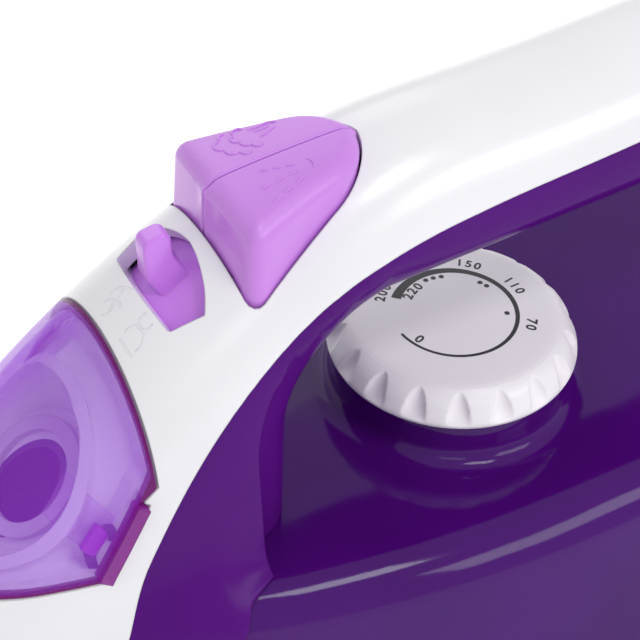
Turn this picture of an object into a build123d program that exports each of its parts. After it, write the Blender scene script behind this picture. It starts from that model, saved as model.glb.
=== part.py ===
"""Hand-held household steam iron as an assembly of separate parts.

Millimetres. +Z is up, the nose points to -X, the left side of the iron is -Y. The origin is on
the ironing face, under the middle of the overall length. The dial's axis passes through x = 0.
"""
import os
from math import asin, atan2, cos, degrees, hypot, radians, sin, tan

from build123d import *

os.makedirs("parts", exist_ok=True)

# ------------------------------------------------------------------ driving dimensions
body_length = 280.0         # nose tip to back of the heel
plate_width = 116.0         # widest width of the soleplate
heel_overhang = 46.0        # heel behind the soleplate
handle_height = 139.0       # crown of the handle over the dial, above the ironing face
handle_width = 33.0
handle_thickness = 27.0
tank_top = 70.0             # flat top of the tank
shoulder_width = 85.0       # tank width at its upper edge
shoulder_drop = 4.0         # upper edge of the tank below its flat top
cowl_width = 43.0           # white cowl across the crown arch, at the lid
lid_rear_x = -70.5
lid_base_z = 78.3
gap_front_x = -43.0         # front end of the finger gap
gap_rear_x = 96.0
dial_diameter = 47.4
dial_top = 86.0
button_travel = 3.0
lever_throw = 34.0          # whole swing of the steam lever, degrees

# walls and clearances
case_wall = 3.0             # outer casings
lid_wall = 2.4
tank_wall = 2.5
tank_gap = 0.2              # tank nose inside the fairing
slide_gap = 0.4             # moving trim in its opening
shaft_gap = 0.1             # shaft or piston in its bore, radial
run_gap = 0.5               # rotating or sliding faces that pass each other
lid_gap = 0.4               # around the lid

# heating base
plate_thickness = 2.2
casting_top = 14.0
casting_inset = 7.0         # casting edge inside the soleplate edge
gasket_thickness = 0.8
cover_thickness = 1.2
skirt_top = 24.0
skirt_inset = 1.5           # skirt edge inside the soleplate edge, at its top
skirt_wall = 3.0
element_radius = 3.5
steam_hole_radius = 1.6

# ------------------------------------------------------------------ places worked out
nose_x = -body_length / 2
heel_x = body_length / 2
plate_rear_x = heel_x - heel_overhang
plate_widest_x = nose_x + 170.0
body_rear_x = plate_rear_x + 4.0            # back of the tank, front of the heel
shoulder_z = tank_top - shoulder_drop
shoulder_widest_x = nose_x + 145.0
shoulder_nose_x = nose_x + 18.0
heel_split_x = heel_x - 8.0                 # rear cover starts here
least_radius = 0.6
crown_radius = cowl_width / 2
handle_radius = handle_width / 2
lid_crown_z = handle_height - 25.0          # crown at the rear edge of the lid
nose_run = lid_rear_x - nose_x              # lid edge to nose tip

# The crown of the cowl and handle: place, crown height, crown radius, flare of the sides.
crown_line = [
    (nose_x + 3.0, lid_crown_z - 70.0, 4.0, 2.0),
    (nose_x + 10.0, lid_crown_z - 54.0, 7.0, 3.0),
    (nose_x + 0.29 * nose_run, lid_crown_z - 42.4, crown_radius - 10.0, 4.0),
    (nose_x + 0.55 * nose_run, lid_crown_z - 26.8, crown_radius - 4.0, 5.0),
    (nose_x + 0.81 * nose_run, lid_crown_z - 11.2, crown_radius - 0.5, 7.0),
    (lid_rear_x + 2.5, lid_crown_z + 1.0, crown_radius, 8.0),
    (lid_rear_x + 18.5, handle_height - 13.6, crown_radius - 1.0, 8.0),
    (lid_rear_x + 32.5, handle_height - 7.5, handle_radius + 2.3, 6.0),
    (lid_rear_x + 48.5, handle_height - 2.5, handle_radius + 0.5, 3.0),
    (0.0, handle_height - 0.7, handle_radius, 0.0),
    (45.0, handle_height + 3.0, handle_radius, 0.0),
    (85.0, handle_height + 4.5, handle_radius, 0.0),
    (heel_x - 36.0, handle_height + 0.5, handle_radius, 0.0),
    (heel_x - 22.0, handle_height - 8.0, handle_radius, 0.0),
    (heel_x - 12.0, handle_height - 20.0, handle_radius, 0.0),
    (heel_x - 4.0, handle_height - 36.0, handle_radius, 0.0),
]

# heel block: height, back of the block, half width
heel_levels = [
    (12.0, heel_x, 0.41 * plate_width),
    (tank_top, heel_x, shoulder_width / 2 - 6.0),
    (handle_height - 35.0, heel_x - 4.0, handle_radius + 1.5),
]

# edge between the white shell and the purple casing, seen from the side
split_curve = [
    (nose_x + 37.0, skirt_top),
    (lid_rear_x - 7.5, tank_top + 1.0),
    (lid_rear_x + 10.5, handle_height - 37.7),
    (lid_rear_x + 28.5, handle_height - 22.4),
    (lid_rear_x + 51.5, handle_height - 15.2),
    (15.0, handle_height - 11.5),
    (85.0, handle_height - 8.5),
    (heel_x - 28.0, handle_height - 17.0),
    (heel_split_x, handle_height - 35.0),
]

# seam between the front casing and the open tank, on the sides
seam_top_x = lid_rear_x + 12.5
seam_foot_x = seam_top_x - 24.0

side_reach = plate_width            # side-view prisms reach past the body
sky_z = handle_height + 60.0
far_x = body_length


# ------------------------------------------------------------------ body surfaces
def plan_face(z, nose, widest, rear, half, tip, corner, inset=0.0):
    """Iron outline: round tip, an arc to the widest point, straight sides, round rear corners."""
    nose, rear, half = nose + inset, rear - inset, half - inset
    tip = max(tip - inset, least_radius)
    corner = max(corner - inset, least_radius)
    reach = widest - nose - tip
    arc = (reach**2 + half**2 - tip**2) / (2 * (half - tip))
    lean = atan2(reach, arc - half)

    def on_arc(angle, side=1):
        return (widest - arc * sin(angle), side * (half - arc + arc * cos(angle)))

    with BuildSketch(Plane.XY.offset(z)) as outline:
        with BuildLine():
            ThreePointArc(on_arc(lean, -1), (nose, 0), on_arc(lean))
            ThreePointArc(on_arc(lean), on_arc(lean / 2), (widest, half))
            Line((widest, half), (rear, half))
            Line((rear, half), (rear, -half))
            Line((rear, -half), (widest, -half))
            ThreePointArc((widest, -half), on_arc(lean / 2, -1), on_arc(lean, -1))
        make_face()
        fillet(outline.vertices().group_by(Axis.X)[-1], corner)
    return outline.sketch.face()


def plate_face(z, inset=0.0):
    """Outline of the soleplate at a height, pulled in all round."""
    return plan_face(z, nose_x, plate_widest_x, plate_rear_x, plate_width / 2, 6.0, 16.0, inset)


def skirt_face(z, inset=0.0):
    """Outline of the body where the skirt meets the tank."""
    half = plate_width / 2 - skirt_inset
    return plan_face(z, nose_x + skirt_inset, plate_widest_x, body_rear_x, half, 6.0, 14.0, inset)


def shoulder_face(z, inset=0.0):
    """Outline of the tank at its upper edge."""
    half = shoulder_width / 2
    return plan_face(
        z, shoulder_nose_x, shoulder_widest_x, body_rear_x, half, 8.0, 12.0, inset)


def arch_face(x, crown, radius, flare, inset, steep):
    """Section across the cowl: round crown, sides flaring down to the skirt."""
    crown, radius = crown - inset * steep, radius - inset
    lean = radians(flare)
    edge_y = radius * cos(lean)
    edge_z = crown - radius + radius * sin(lean)
    foot_y = edge_y + (edge_z - skirt_top) * tan(lean)
    with BuildSketch(Plane.YZ.offset(x)) as arch:
        with BuildLine():
            ThreePointArc((-edge_y, edge_z), (0, crown), (edge_y, edge_z))
            Line((edge_y, edge_z), (foot_y, skirt_top))
            Line((foot_y, skirt_top), (-foot_y, skirt_top))
            Line((-foot_y, skirt_top), (-edge_y, edge_z))
        make_face()
    return arch.sketch.face()


def lofted(faces, ruled=False):
    """Solid through the given faces."""
    with BuildPart() as block:
        loft(faces, ruled=ruled)
    return block.part


def crown_steepness(index):
    """Length of the crown line over its run, at one station."""
    before = crown_line[max(index - 1, 0)]
    after = crown_line[min(index + 1, len(crown_line) - 1)]
    return hypot(1.0, (after[1] - before[1]) / (after[0] - before[0]))


def cowl_block(inset=0.0):
    """Nose, cowl and handle as one arch-shaped block, pulled in all round."""
    faces = []
    for index, (x, crown, radius, flare) in enumerate(crown_line):
        if radius - inset < least_radius + 2 * bool(inset):
            continue
        if index == len(crown_line) - 1:
            x -= inset
        faces.append(arch_face(x, crown, radius, flare, inset, crown_steepness(index)))
    return lofted(faces)


def tank_block(inset=0.0):
    """The low part of the body, from the skirt to the flat top of the tank."""
    lower = lofted([skirt_face(skirt_top, inset), shoulder_face(shoulder_z, inset)], ruled=True)
    with BuildPart() as block:
        add(lower)
        loft([shoulder_face(shoulder_z, inset),
              shoulder_face(tank_top - inset, inset + shoulder_drop + 2.0)], ruled=True)
    return block.part


def heel_block(inset=0.0):
    """The heel behind the tank, narrowing up to the handle."""
    faces = []
    for z, back, half in heel_levels:
        with BuildSketch(Plane.XY.offset(z + (inset if z == heel_levels[0][0] else 0.0))) as level:
            with Locations(((body_rear_x + back) / 2, 0)):
                RectangleRounded(back - body_rear_x - 2 * inset, 2 * (half - inset), 8.0 - inset)
        faces.append(level.sketch.face())
    return lofted(faces, ruled=True)


def side_prism(*points, grow=0.0, rounding=()):
    """Prism across the iron from a side-view outline of straight edges with rounded corners."""
    with BuildPart() as prism:
        with BuildSketch(Plane.XZ) as side:
            with BuildLine():
                Polyline(*points, close=True)
            make_face()
            for place, radius in rounding:
                fillet(side.vertices().sort_by_distance((*place, 0))[0], radius)
            if grow:
                offset(amount=grow, kind=Kind.INTERSECTION, mode=Mode.REPLACE)
        extrude(amount=side_reach, both=True)
    return prism.part


def finger_gap(grow=0.0):
    """The hole under the handle."""
    ceiling_front = handle_height - handle_thickness - 3.4
    ceiling_rear = handle_height - handle_thickness + 4.6
    return side_prism(
        (gap_front_x, tank_top), (gap_front_x, ceiling_front), (gap_rear_x, ceiling_rear),
        (gap_rear_x, tank_top), grow=grow,
        rounding=[((gap_front_x, ceiling_front), 18.0), ((gap_rear_x, ceiling_rear), 16.0)])


def above_split():
    """Everything above the edge of the white shell."""
    with BuildPart() as prism:
        with BuildSketch(Plane.XZ):
            with BuildLine():
                Spline(*split_curve)
                Polyline(split_curve[-1], (far_x, split_curve[-1][1]), (far_x, sky_z),
                         (-far_x, sky_z), (-far_x, skirt_top), split_curve[0])
            make_face()
        extrude(amount=side_reach, both=True)
    return prism.part


# ------------------------------------------------------------------ shared blocks
front_zone = side_prism(
    (-far_x, skirt_top), (seam_foot_x, skirt_top), (seam_top_x, tank_top), (-far_x, tank_top))
rear_zone = side_prism(
    (far_x, skirt_top), (seam_foot_x, skirt_top), (seam_top_x, tank_top), (far_x, tank_top))
high_zone = side_prism((-far_x, tank_top), (far_x, tank_top), (far_x, sky_z), (-far_x, sky_z))
heel_zone = side_prism((body_rear_x, 0), (far_x, 0), (far_x, tank_top), (body_rear_x, tank_top))
cover_zone = side_prism(
    (heel_split_x, 0), (far_x, 0), (far_x, split_curve[-1][1]), (heel_split_x, split_curve[-1][1]))
white_zone = above_split()

cowl_outer = cowl_block()
cowl_inner = cowl_block(case_wall)
tank_outer = tank_block()
tank_inner = tank_block(case_wall)
heel_outer = heel_block()
heel_inner = heel_block(case_wall)

with BuildPart() as casing:
    add(cowl_outer)
    add(tank_outer & front_zone)
    add(heel_outer)
    add(front_zone + high_zone + heel_zone, mode=Mode.INTERSECT)
    add(finger_gap(), mode=Mode.SUBTRACT)

with BuildPart() as cavity:
    add(cowl_inner)
    add(tank_inner & front_zone)
    add(heel_inner)
    add(finger_gap(case_wall), mode=Mode.SUBTRACT)

with BuildPart() as casing_wall:
    add(casing.part)
    add(cavity.part, mode=Mode.SUBTRACT)


def cowl_half_width(x, z):
    """Half width of the cowl at a place on its side."""
    for (x0, *front), (x1, *back) in zip(crown_line, crown_line[1:]):
        if x0 <= x <= x1:
            share = (x - x0) / (x1 - x0)
            crown, radius, flare = (a + share * (b - a) for a, b in zip(front, back))
            lean = radians(flare)
            edge_z = crown - radius + radius * sin(lean)
            return radius * cos(lean) + max(edge_z - z, 0.0) * tan(lean)
    return 0.0


def crown_at(x):
    """Height of the crown line at a place."""
    for (x0, z0, *_), (x1, z1, *_) in zip(crown_line, crown_line[1:]):
        if x0 <= x <= x1:
            return z0 + (z1 - z0) * (x - x0) / (x1 - x0)
    return 0.0


# ------------------------------------------------------------------ heating base
chamber_nose_x = nose_x + 52.0
chamber_rear_x = -18.0
chamber_half = 19.0
chamber_floor = 8.0
cover_top = casting_top + gasket_thickness + cover_thickness
cover_rim = 3.0
valve_x = lid_rear_x + 10.5
pipe_x, pipe_y = valve_x - 4.0, 7.5
pipe_radius = 1.8
pump_x, pump_y = gap_front_x - 9.0, 7.5
hole_rows = 6
boss_x, boss_y = plate_rear_x - 24.0, plate_width / 2 - 22.0
boss_radius = 4.0
screw_radius = 1.6
flange_z = skirt_top - 4.0
terminal_x, terminal_y = plate_rear_x - 16.0, 24.0


def chamber_face(z, grow=0.0):
    """Outline of the steam chamber."""
    return plan_face(z, chamber_nose_x, chamber_rear_x - 8.0, chamber_rear_x, chamber_half,
                     3.0, 3.0, -grow)


def steam_holes():
    """Centres of the steam holes: rows of three that spread towards the rear."""
    for row in range(hole_rows):
        x = chamber_nose_x + 10.0 + 11.0 * row
        for side in (-1, 0, 1):
            yield (x, side * (2.8 + 2.0 * row))


def element_path():
    """Centre line of the heating element: a U round the chamber, with raised ends."""
    depth = casting_top - element_radius - 1.8
    bend_x = nose_x + 36.0
    side = [(terminal_x, terminal_y, skirt_top - 2.5), (terminal_x, terminal_y, depth),
            (0.0, 30.0, depth), (-70.0, 19.5, depth)]
    back = [(x, -y, z) for x, y, z in reversed(side)]
    return side + [(bend_x, 0.0, depth)] + back


with BuildPart() as soleplate:
    with BuildSketch(Plane.XY):
        add(plate_face(0.0))
    extrude(amount=plate_thickness)
    chamfer(soleplate.faces().sort_by(Axis.Z)[0].edges(), 0.6)
    with Locations(*steam_holes()):
        Hole(steam_hole_radius)

with BuildPart() as heating_element:
    with BuildLine():
        path = FilletPolyline(*element_path(), radius=7.0)
    with BuildSketch(Plane(origin=path @ 0, z_dir=path % 0)):
        Circle(element_radius)
    sweep()

with BuildPart() as heater_casting:
    with BuildSketch(Plane.XY.offset(plate_thickness)):
        add(plate_face(plate_thickness, casting_inset))
    extrude(amount=casting_top - plate_thickness)
    with BuildSketch(Plane.XY.offset(chamber_floor)):
        add(chamber_face(chamber_floor))
    extrude(amount=casting_top, mode=Mode.SUBTRACT)
    with Locations(*((x, y, casting_top) for x, y in steam_holes())):
        Hole(steam_hole_radius)
    for side in (-1, 1):
        with Locations((boss_x, side * boss_y, casting_top)):
            Cylinder(boss_radius, flange_z - casting_top,
                     align=(Align.CENTER, Align.CENTER, Align.MIN))
        with Locations((boss_x, side * boss_y, flange_z)):
            Hole(screw_radius, depth=10.0)
    add(heating_element.part, mode=Mode.SUBTRACT)

with BuildPart() as chamber_gasket:
    with BuildSketch(Plane.XY.offset(casting_top)):
        add(chamber_face(casting_top, cover_rim))
        add(chamber_face(casting_top), mode=Mode.SUBTRACT)
    extrude(amount=gasket_thickness)

with BuildPart() as chamber_cover:
    with BuildSketch(Plane.XY.offset(cover_top - cover_thickness)):
        add(chamber_face(cover_top - cover_thickness, cover_rim))
    extrude(amount=cover_thickness)
    with Locations((valve_x, 0, cover_top)):
        Hole(1.5)
    with Locations((pipe_x, pipe_y, cover_top)):
        Hole(pipe_radius - 0.6)

skirt_outer = lofted([plate_face(plate_thickness, 0.8), skirt_face(skirt_top)], ruled=True)
skirt_inner = lofted([plate_face(plate_thickness, 0.8 + skirt_wall),
                      skirt_face(skirt_top, skirt_wall)], ruled=True)
with BuildPart() as heat_skirt:
    add(skirt_outer)
    add(skirt_inner, mode=Mode.SUBTRACT)
    with BuildSketch(Plane.XY.offset(flange_z)):
        add(skirt_face(flange_z, skirt_wall - 0.5))
        add(skirt_face(flange_z, 26.0), mode=Mode.SUBTRACT)
    extrude(amount=skirt_top - flange_z - 0.2)
    add(skirt_outer, mode=Mode.INTERSECT)
    with Locations(*((boss_x, side * boss_y, skirt_top - 0.2) for side in (-1, 1))):
        CounterBoreHole(screw_radius + shaft_gap, 3.4, 2.2, depth=skirt_top)
    for side in (-1, 1):
        with Locations((terminal_x, side * terminal_y, skirt_top)):
            Hole(element_radius + 1.0)

with BuildPart() as base_screws:
    for side in (-1, 1):
        with Locations((boss_x, side * boss_y, flange_z - 6.0)):
            Cylinder(screw_radius, 7.6, align=(Align.CENTER, Align.CENTER, Align.MIN))
        with Locations((boss_x, side * boss_y, flange_z + 1.6)):
            Cylinder(3.0, 1.8, align=(Align.CENTER, Align.CENTER, Align.MIN))

# ------------------------------------------------------------------ water tank
tank_nose_inset = case_wall + tank_gap
tank_nose_x = nose_x + 34.0                 # front wall of the tank inside the nose
neck_x = lid_rear_x - 15.5
neck_radius = 9.0
pocket_radius = 19.0
pocket_top = 46.0
well_radius = 7.0
collar_radius = dial_diameter / 2 + 0.5
collar_wall = 3.0
skirt_of_dial = 7.9                         # dial top to its lower rim
collar_top = dial_top - skirt_of_dial - run_gap
seat_radius = 5.0


def behind(x):
    """Everything behind a plane across the iron."""
    return side_prism((x, 0), (far_x, 0), (far_x, sky_z), (x, sky_z))


tank_front_outer = tank_block(tank_nose_inset) & behind(tank_nose_x)
tank_front_inner = tank_block(tank_nose_inset + tank_wall) & behind(tank_nose_x + tank_wall)
tank_rear_inner = tank_block(tank_wall)
rear_zone_inner = side_prism(
    (far_x, skirt_top), (seam_foot_x + tank_wall + 1.0, skirt_top),
    (seam_top_x + tank_wall + 1.0, tank_top), (far_x, tank_top))

with BuildPart() as tank_cavity:
    add(tank_rear_inner)
    add(rear_zone_inner, mode=Mode.INTERSECT)
    add(tank_front_inner)

with BuildPart() as water_tank:
    add(tank_outer)
    add(rear_zone, mode=Mode.INTERSECT)
    add(tank_front_outer)
    add(tank_cavity.part, mode=Mode.SUBTRACT)
    with BuildSketch(Plane.XY.offset(tank_top)):
        Circle(collar_radius + 1.0)
        Circle(collar_radius - collar_wall, mode=Mode.SUBTRACT)
    extrude(amount=collar_top - tank_top, taper=6)
    with Locations((0, 0, pocket_top + 2.0)):
        Cylinder(well_radius, tank_top - pocket_top - 2.0,
                 align=(Align.CENTER, Align.CENTER, Align.MIN))
    with Locations((0, 0, tank_top)):
        Hole(well_radius - 2.0)
    with Locations((neck_x, 0, tank_top)):
        Hole(neck_radius + shaft_gap)
    with Locations((valve_x, 0, tank_top)):
        Hole(1.8)
    with Locations((pipe_x, pipe_y, tank_top)):
        Hole(pipe_radius + shaft_gap)
    with Locations((pump_x, -pump_y, tank_top), (pump_x, pump_y, tank_top)):
        Hole(1.6)

with BuildPart() as tank_base:
    with Locations((0, 0, skirt_top)):
        Box(2 * body_length, plate_width, tank_wall, align=(Align.CENTER, Align.CENTER, Align.MIN))
    add(tank_cavity.part, mode=Mode.INTERSECT)
    with Locations((0, 0, skirt_top)):
        Cylinder(pocket_radius, pocket_top + 2.0 - skirt_top,
                 align=(Align.CENTER, Align.CENTER, Align.MIN))
        Cylinder(pocket_radius - 2.0, pocket_top - skirt_top, mode=Mode.SUBTRACT,
                 align=(Align.CENTER, Align.CENTER, Align.MIN))
    with Locations((0, 0, pocket_top + 2.0)):
        Hole(well_radius - 2.0)
    with Locations((valve_x, 0, skirt_top + tank_wall)):
        Hole(seat_radius)
    with Locations((pipe_x, pipe_y, skirt_top + tank_wall)):
        Hole(pipe_radius + shaft_gap)

# ------------------------------------------------------------------ casings
button_front_x = lid_rear_x + 18.7
button_tip_x = button_front_x + 27.6
button_half = 15.3
button_shoulder = (button_front_x + 19.1, 9.8)
button_front_z = handle_height - 3.9
button_tip_z = handle_height - 1.3
button_floor = handle_height - 19.5
button_seam = 0.3
button_draft = 0.045                        # the sides lean in by this share of the height
button_wall = 2.2

lever_x = lid_rear_x + 11.5
lever_depth = 21.5                          # lever axis below the crown
lever_slope = radians(34.0)
lever_band = 2.2
slot_half = 9.4
slot_front, slot_rear = -4.4, 4.4           # along the slope, from the slot's middle
lever_along = Vector(cos(lever_slope), 0, sin(lever_slope))
lever_out = Vector(-sin(lever_slope), 0, cos(lever_slope))
lever_crown = Vector(lever_x, 0, crown_at(lever_x) + 0.3)
lever_axis = lever_crown - lever_out * lever_depth
lever_plane = Plane(origin=lever_axis, x_dir=(0, 1, 0), z_dir=lever_along)
lever_reach = lever_depth - case_wall - 0.5   # outer radius of the band

nozzle_x = nose_x + 13.5
nozzle_lean = radians(30.0)
nozzle_radius = 5.5
nozzle_ring_width = 1.9
nozzle_length = 11.0
nozzle_centre = Vector(nozzle_x, 0, crown_at(nozzle_x) - 1.0)
nozzle_out = Vector(-cos(nozzle_lean), 0, sin(nozzle_lean))
nozzle_plane = Plane(origin=nozzle_centre, x_dir=(0, 1, 0), z_dir=nozzle_out)

gland_lean = radians(40.0)
gland_out = Vector(cos(gland_lean), 0, sin(gland_lean))
gland_x = heel_x - 15.5
gland_centre = Vector(gland_x, 0, crown_at(gland_x)) - gland_out * 9.0
gland_plane = Plane(origin=gland_centre, x_dir=(0, 1, 0), z_dir=gland_out)
ball_radius = 8.0
sleeve_radius = 5.0
cord_bore = 3.6

hinge_front_x, hinge_rear_x = lid_rear_x - 25.5, lid_rear_x - 12.5
hinge_front = Vector(hinge_front_x, cowl_half_width(hinge_front_x, lid_base_z), lid_base_z)
hinge_rear = Vector(hinge_rear_x, cowl_half_width(hinge_rear_x, lid_base_z), lid_base_z)
hinge_along = (hinge_rear - hinge_front).normalized()
hinge_length = (hinge_rear - hinge_front).length
hinge_plane = Plane(origin=hinge_front, z_dir=hinge_along)
pin_radius = 1.0
knuckle_radius = 2.0
knuckle_length = (hinge_length - 2 * run_gap) / 3


def knuckle(start, length, radius):
    """Cylinder along the lid's hinge."""
    with BuildPart() as piece:
        with BuildSketch(hinge_plane.offset(start)):
            Circle(radius)
        extrude(amount=length)
    return piece.part


def button_outline(z, grow=0.0):
    """Plan of the button pair: a slightly bowed front, straight sides and a round tip."""
    corner = (button_front_x + 1.2, button_half)
    with BuildSketch(Plane.XY.offset(z)) as outline:
        with BuildLine():
            ThreePointArc((corner[0], -corner[1]), (button_front_x, 0), corner)
            Line(corner, button_shoulder)
            run = Vector(button_shoulder[0] - corner[0], button_shoulder[1] - corner[1])
            TangentArc(button_shoulder, (button_tip_x, 0), tangent=(run.X, run.Y))
            TangentArc((button_shoulder[0], -button_shoulder[1]), (button_tip_x, 0),
                       tangent=(run.X, -run.Y))
            Line((corner[0], -corner[1]), (button_shoulder[0], -button_shoulder[1]))
        make_face()
        fillet(outline.vertices().group_by(Axis.X)[0], 1.5)
        if grow:
            offset(amount=grow, mode=Mode.REPLACE)
    return outline.sketch.face()


def prism_up(face, height):
    """Face drawn upwards."""
    with BuildPart() as prism:
        extrude(face, amount=height, dir=(0, 0, 1))
    return prism.part


def sector(outer, inner, half_angle, front, rear):
    """Ring sector about the lever's axis."""
    with BuildPart() as piece:
        with BuildSketch(lever_plane.offset(front)):
            with BuildLine():
                wide = CenterArc((0, 0), outer, 90 - half_angle, 2 * half_angle)
                tight = CenterArc((0, 0), inner, 90 - half_angle, 2 * half_angle)
                Line(wide @ 0, tight @ 0)
                Line(wide @ 1, tight @ 1)
            make_face()
        extrude(amount=rear - front)
    return piece.part


# ends of the slanted corner of the lid, in the side view
lid_notch = Vector(lid_rear_x - 11.0, lid_base_z)
lid_corner = Vector(lid_rear_x - 2.4, lid_base_z + 15.0)


def lid_region(grow):
    """Region of the lid seen from the side, moved out by a margin."""
    return side_prism(
        (-far_x, lid_base_z), (lid_notch.X, lid_base_z), (lid_corner.X, lid_corner.Y),
        (lid_rear_x, lid_corner.Y + 2.0), (lid_rear_x, sky_z), (-far_x, sky_z), grow=grow)


def tab_region(grow=0.0):
    """Finger tab of the lid, on the left side, across the cut corner."""
    along = (lid_corner - lid_notch).normalized()
    across = Vector(along.Y, -along.X)
    low, high = lid_notch + along * 2.8, lid_corner - along * 1.9
    corners = (low - across * 2.0, high - across * 2.0, high + across * 2.4, low + across * 2.4)
    tab = side_prism(*((spot.X, spot.Y) for spot in corners), grow=grow)
    with BuildPart() as piece:
        add(tab)
        with Locations((0, side_reach / 2, 0)):
            Box(4 * body_length, side_reach, 4 * body_length, mode=Mode.SUBTRACT)
    return piece.part


button_opening = prism_up(button_outline(button_floor - 8.0, slide_gap), 60.0)

with BuildPart() as upper_shell:
    add(casing_wall.part)
    add(white_zone, mode=Mode.INTERSECT)
    add(cover_zone, mode=Mode.SUBTRACT)
    add(lid_region(0.0), mode=Mode.SUBTRACT)
    add(tab_region(lid_gap), mode=Mode.SUBTRACT)
    add(button_opening, mode=Mode.SUBTRACT)
    with BuildSketch(lever_plane.offset((slot_front + slot_rear) / 2)):
        with Locations((0, lever_depth)):
            Rectangle(2 * slot_half, 16.0)
    extrude(amount=(slot_rear - slot_front) / 2, both=True, mode=Mode.SUBTRACT)
    with BuildSketch(nozzle_plane.offset(-12.0)):
        Circle(nozzle_radius + slide_gap)
    extrude(amount=30.0, mode=Mode.SUBTRACT)
    with BuildSketch(nozzle_plane.offset(0.4)):
        Circle(nozzle_radius + nozzle_ring_width)
    extrude(amount=30.0, mode=Mode.SUBTRACT)
    with BuildSketch(gland_plane.offset(2.0)):
        RectangleRounded(2 * (ball_radius + sleeve_radius - 0.8), 2 * (sleeve_radius + 0.8), 5.0)
    extrude(amount=30.0, mode=Mode.SUBTRACT)
    with Locations(gland_plane):
        Sphere(ball_radius + slide_gap, mode=Mode.SUBTRACT)
    for start in (0.0, 2 * (knuckle_length + run_gap)):
        add(knuckle(start - run_gap, knuckle_length + 2 * run_gap, knuckle_radius + run_gap),
            mode=Mode.SUBTRACT)
    add(knuckle(knuckle_length + run_gap, knuckle_length, knuckle_radius))
    add(knuckle(0.0, hinge_length, pin_radius + shaft_gap), mode=Mode.SUBTRACT)

lens_z = tank_top + 17.0
lens_radius = 4.0
with BuildPart() as handle_fairing:
    add(casing_wall.part)
    add(white_zone, mode=Mode.SUBTRACT)
    add(heel_zone, mode=Mode.SUBTRACT)
    add(cover_zone, mode=Mode.SUBTRACT)
    with Locations((gap_rear_x - 2.0, 0, lens_z)):
        Cylinder(lens_radius, case_wall + 6.0, rotation=(0, 90, 0), mode=Mode.SUBTRACT,
                 align=(Align.CENTER, Align.CENTER, Align.MIN))

screw_y, screw_z = 30.0, 23.0
screw_boss = 5.0
housing_front = body_rear_x + case_wall
with BuildPart() as heel_housing:
    add(casing_wall.part)
    add(heel_zone, mode=Mode.INTERSECT)
    for side in (-1, 1):
        with Locations((heel_split_x, side * screw_y, screw_z)):
            Cylinder(screw_boss, heel_split_x - housing_front, rotation=(0, -90, 0),
                     align=(Align.CENTER, Align.CENTER, Align.MIN))
        with Locations(((heel_split_x + housing_front) / 2, side * screw_y, screw_z - 5.0)):
            Box(heel_split_x - housing_front, 4.0, 8.0)
        with Locations((heel_split_x, side * screw_y, screw_z)):
            Cylinder(screw_radius, 14.0, rotation=(0, -90, 0), mode=Mode.SUBTRACT,
                     align=(Align.CENTER, Align.CENTER, Align.MIN))
    add(cover_zone, mode=Mode.SUBTRACT)

with BuildPart() as rear_cover:
    add(casing_wall.part)
    add(cover_zone, mode=Mode.INTERSECT)
    for side in (-1, 1):
        with Locations((heel_x, side * screw_y, screw_z)):
            Cylinder(screw_boss, heel_x - heel_split_x, rotation=(0, -90, 0),
                     align=(Align.CENTER, Align.CENTER, Align.MIN))
            Cylinder(3.4, 3.0, rotation=(0, -90, 0), mode=Mode.SUBTRACT,
                     align=(Align.CENTER, Align.CENTER, Align.MIN))
            Cylinder(screw_radius + shaft_gap, 20.0, rotation=(0, -90, 0), mode=Mode.SUBTRACT,
                     align=(Align.CENTER, Align.CENTER, Align.MIN))

with BuildPart() as cover_screws:
    for side in (-1, 1):
        with Locations((heel_x - 3.0, side * screw_y, screw_z)):
            Cylinder(screw_radius, 16.0, rotation=(0, -90, 0),
                     align=(Align.CENTER, Align.CENTER, Align.MIN))
            Cylinder(3.0, 2.0, rotation=(0, 90, 0),
                     align=(Align.CENTER, Align.CENTER, Align.MIN))

# ------------------------------------------------------------------ fill lid and cup
cup_floor_inset = 5.6                       # white recess under the lid
cup_wall = 2.0
cup_flange = 2.5
bowl_slope = radians(38.5)
bowl_out = Vector(-sin(bowl_slope), 0, cos(bowl_slope))
bowl_centre = Vector(lid_rear_x - 19.8, 0, crown_at(lid_rear_x - 19.8) - 5.5)
bowl_plane = Plane(origin=bowl_centre, x_dir=(0, 1, 0), z_dir=bowl_out)
bowl_radius = 17.4
bowl_depth = 10.0
fill_radius = 7.6
cup_surface = cowl_block(cup_floor_inset)
cup_under = cowl_block(cup_floor_inset + cup_wall)


def bowl(grow, above):
    """Tapered bowl square to the nose slope."""
    with BuildPart() as piece:
        with BuildSketch(bowl_plane.offset(-bowl_depth - grow)):
            Circle(bowl_radius - 5.0 + grow)
        with BuildSketch(bowl_plane):
            Circle(bowl_radius + grow)
        loft()
        with BuildSketch(bowl_plane):
            Circle(bowl_radius + grow)
        extrude(amount=above)
    return piece.part


with BuildPart() as fill_cup:
    add(cowl_inner)
    add(lid_region(cup_flange), mode=Mode.INTERSECT)
    add(cup_under, mode=Mode.SUBTRACT)
    add((cowl_outer - cup_surface) & lid_region(-1.0), mode=Mode.SUBTRACT)
    add(bowl(cup_wall, 1.0) & cowl_inner)
    with Locations((neck_x, 0, shoulder_z - 8.0)):
        Cylinder(neck_radius, bowl_centre.Z - shoulder_z, align=(Align.CENTER, Align.CENTER, Align.MIN))
    add(bowl(0.0, 30.0), mode=Mode.SUBTRACT)
    with Locations((neck_x, 0, tank_top + 8.0)):
        Hole(neck_radius - cup_wall)

with BuildPart() as fill_seal:
    with BuildSketch(bowl_plane.offset(-bowl_depth)):
        Circle(fill_radius + 3.2)
        Circle(fill_radius + 0.6, mode=Mode.SUBTRACT)
    extrude(amount=1.4)

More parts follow.
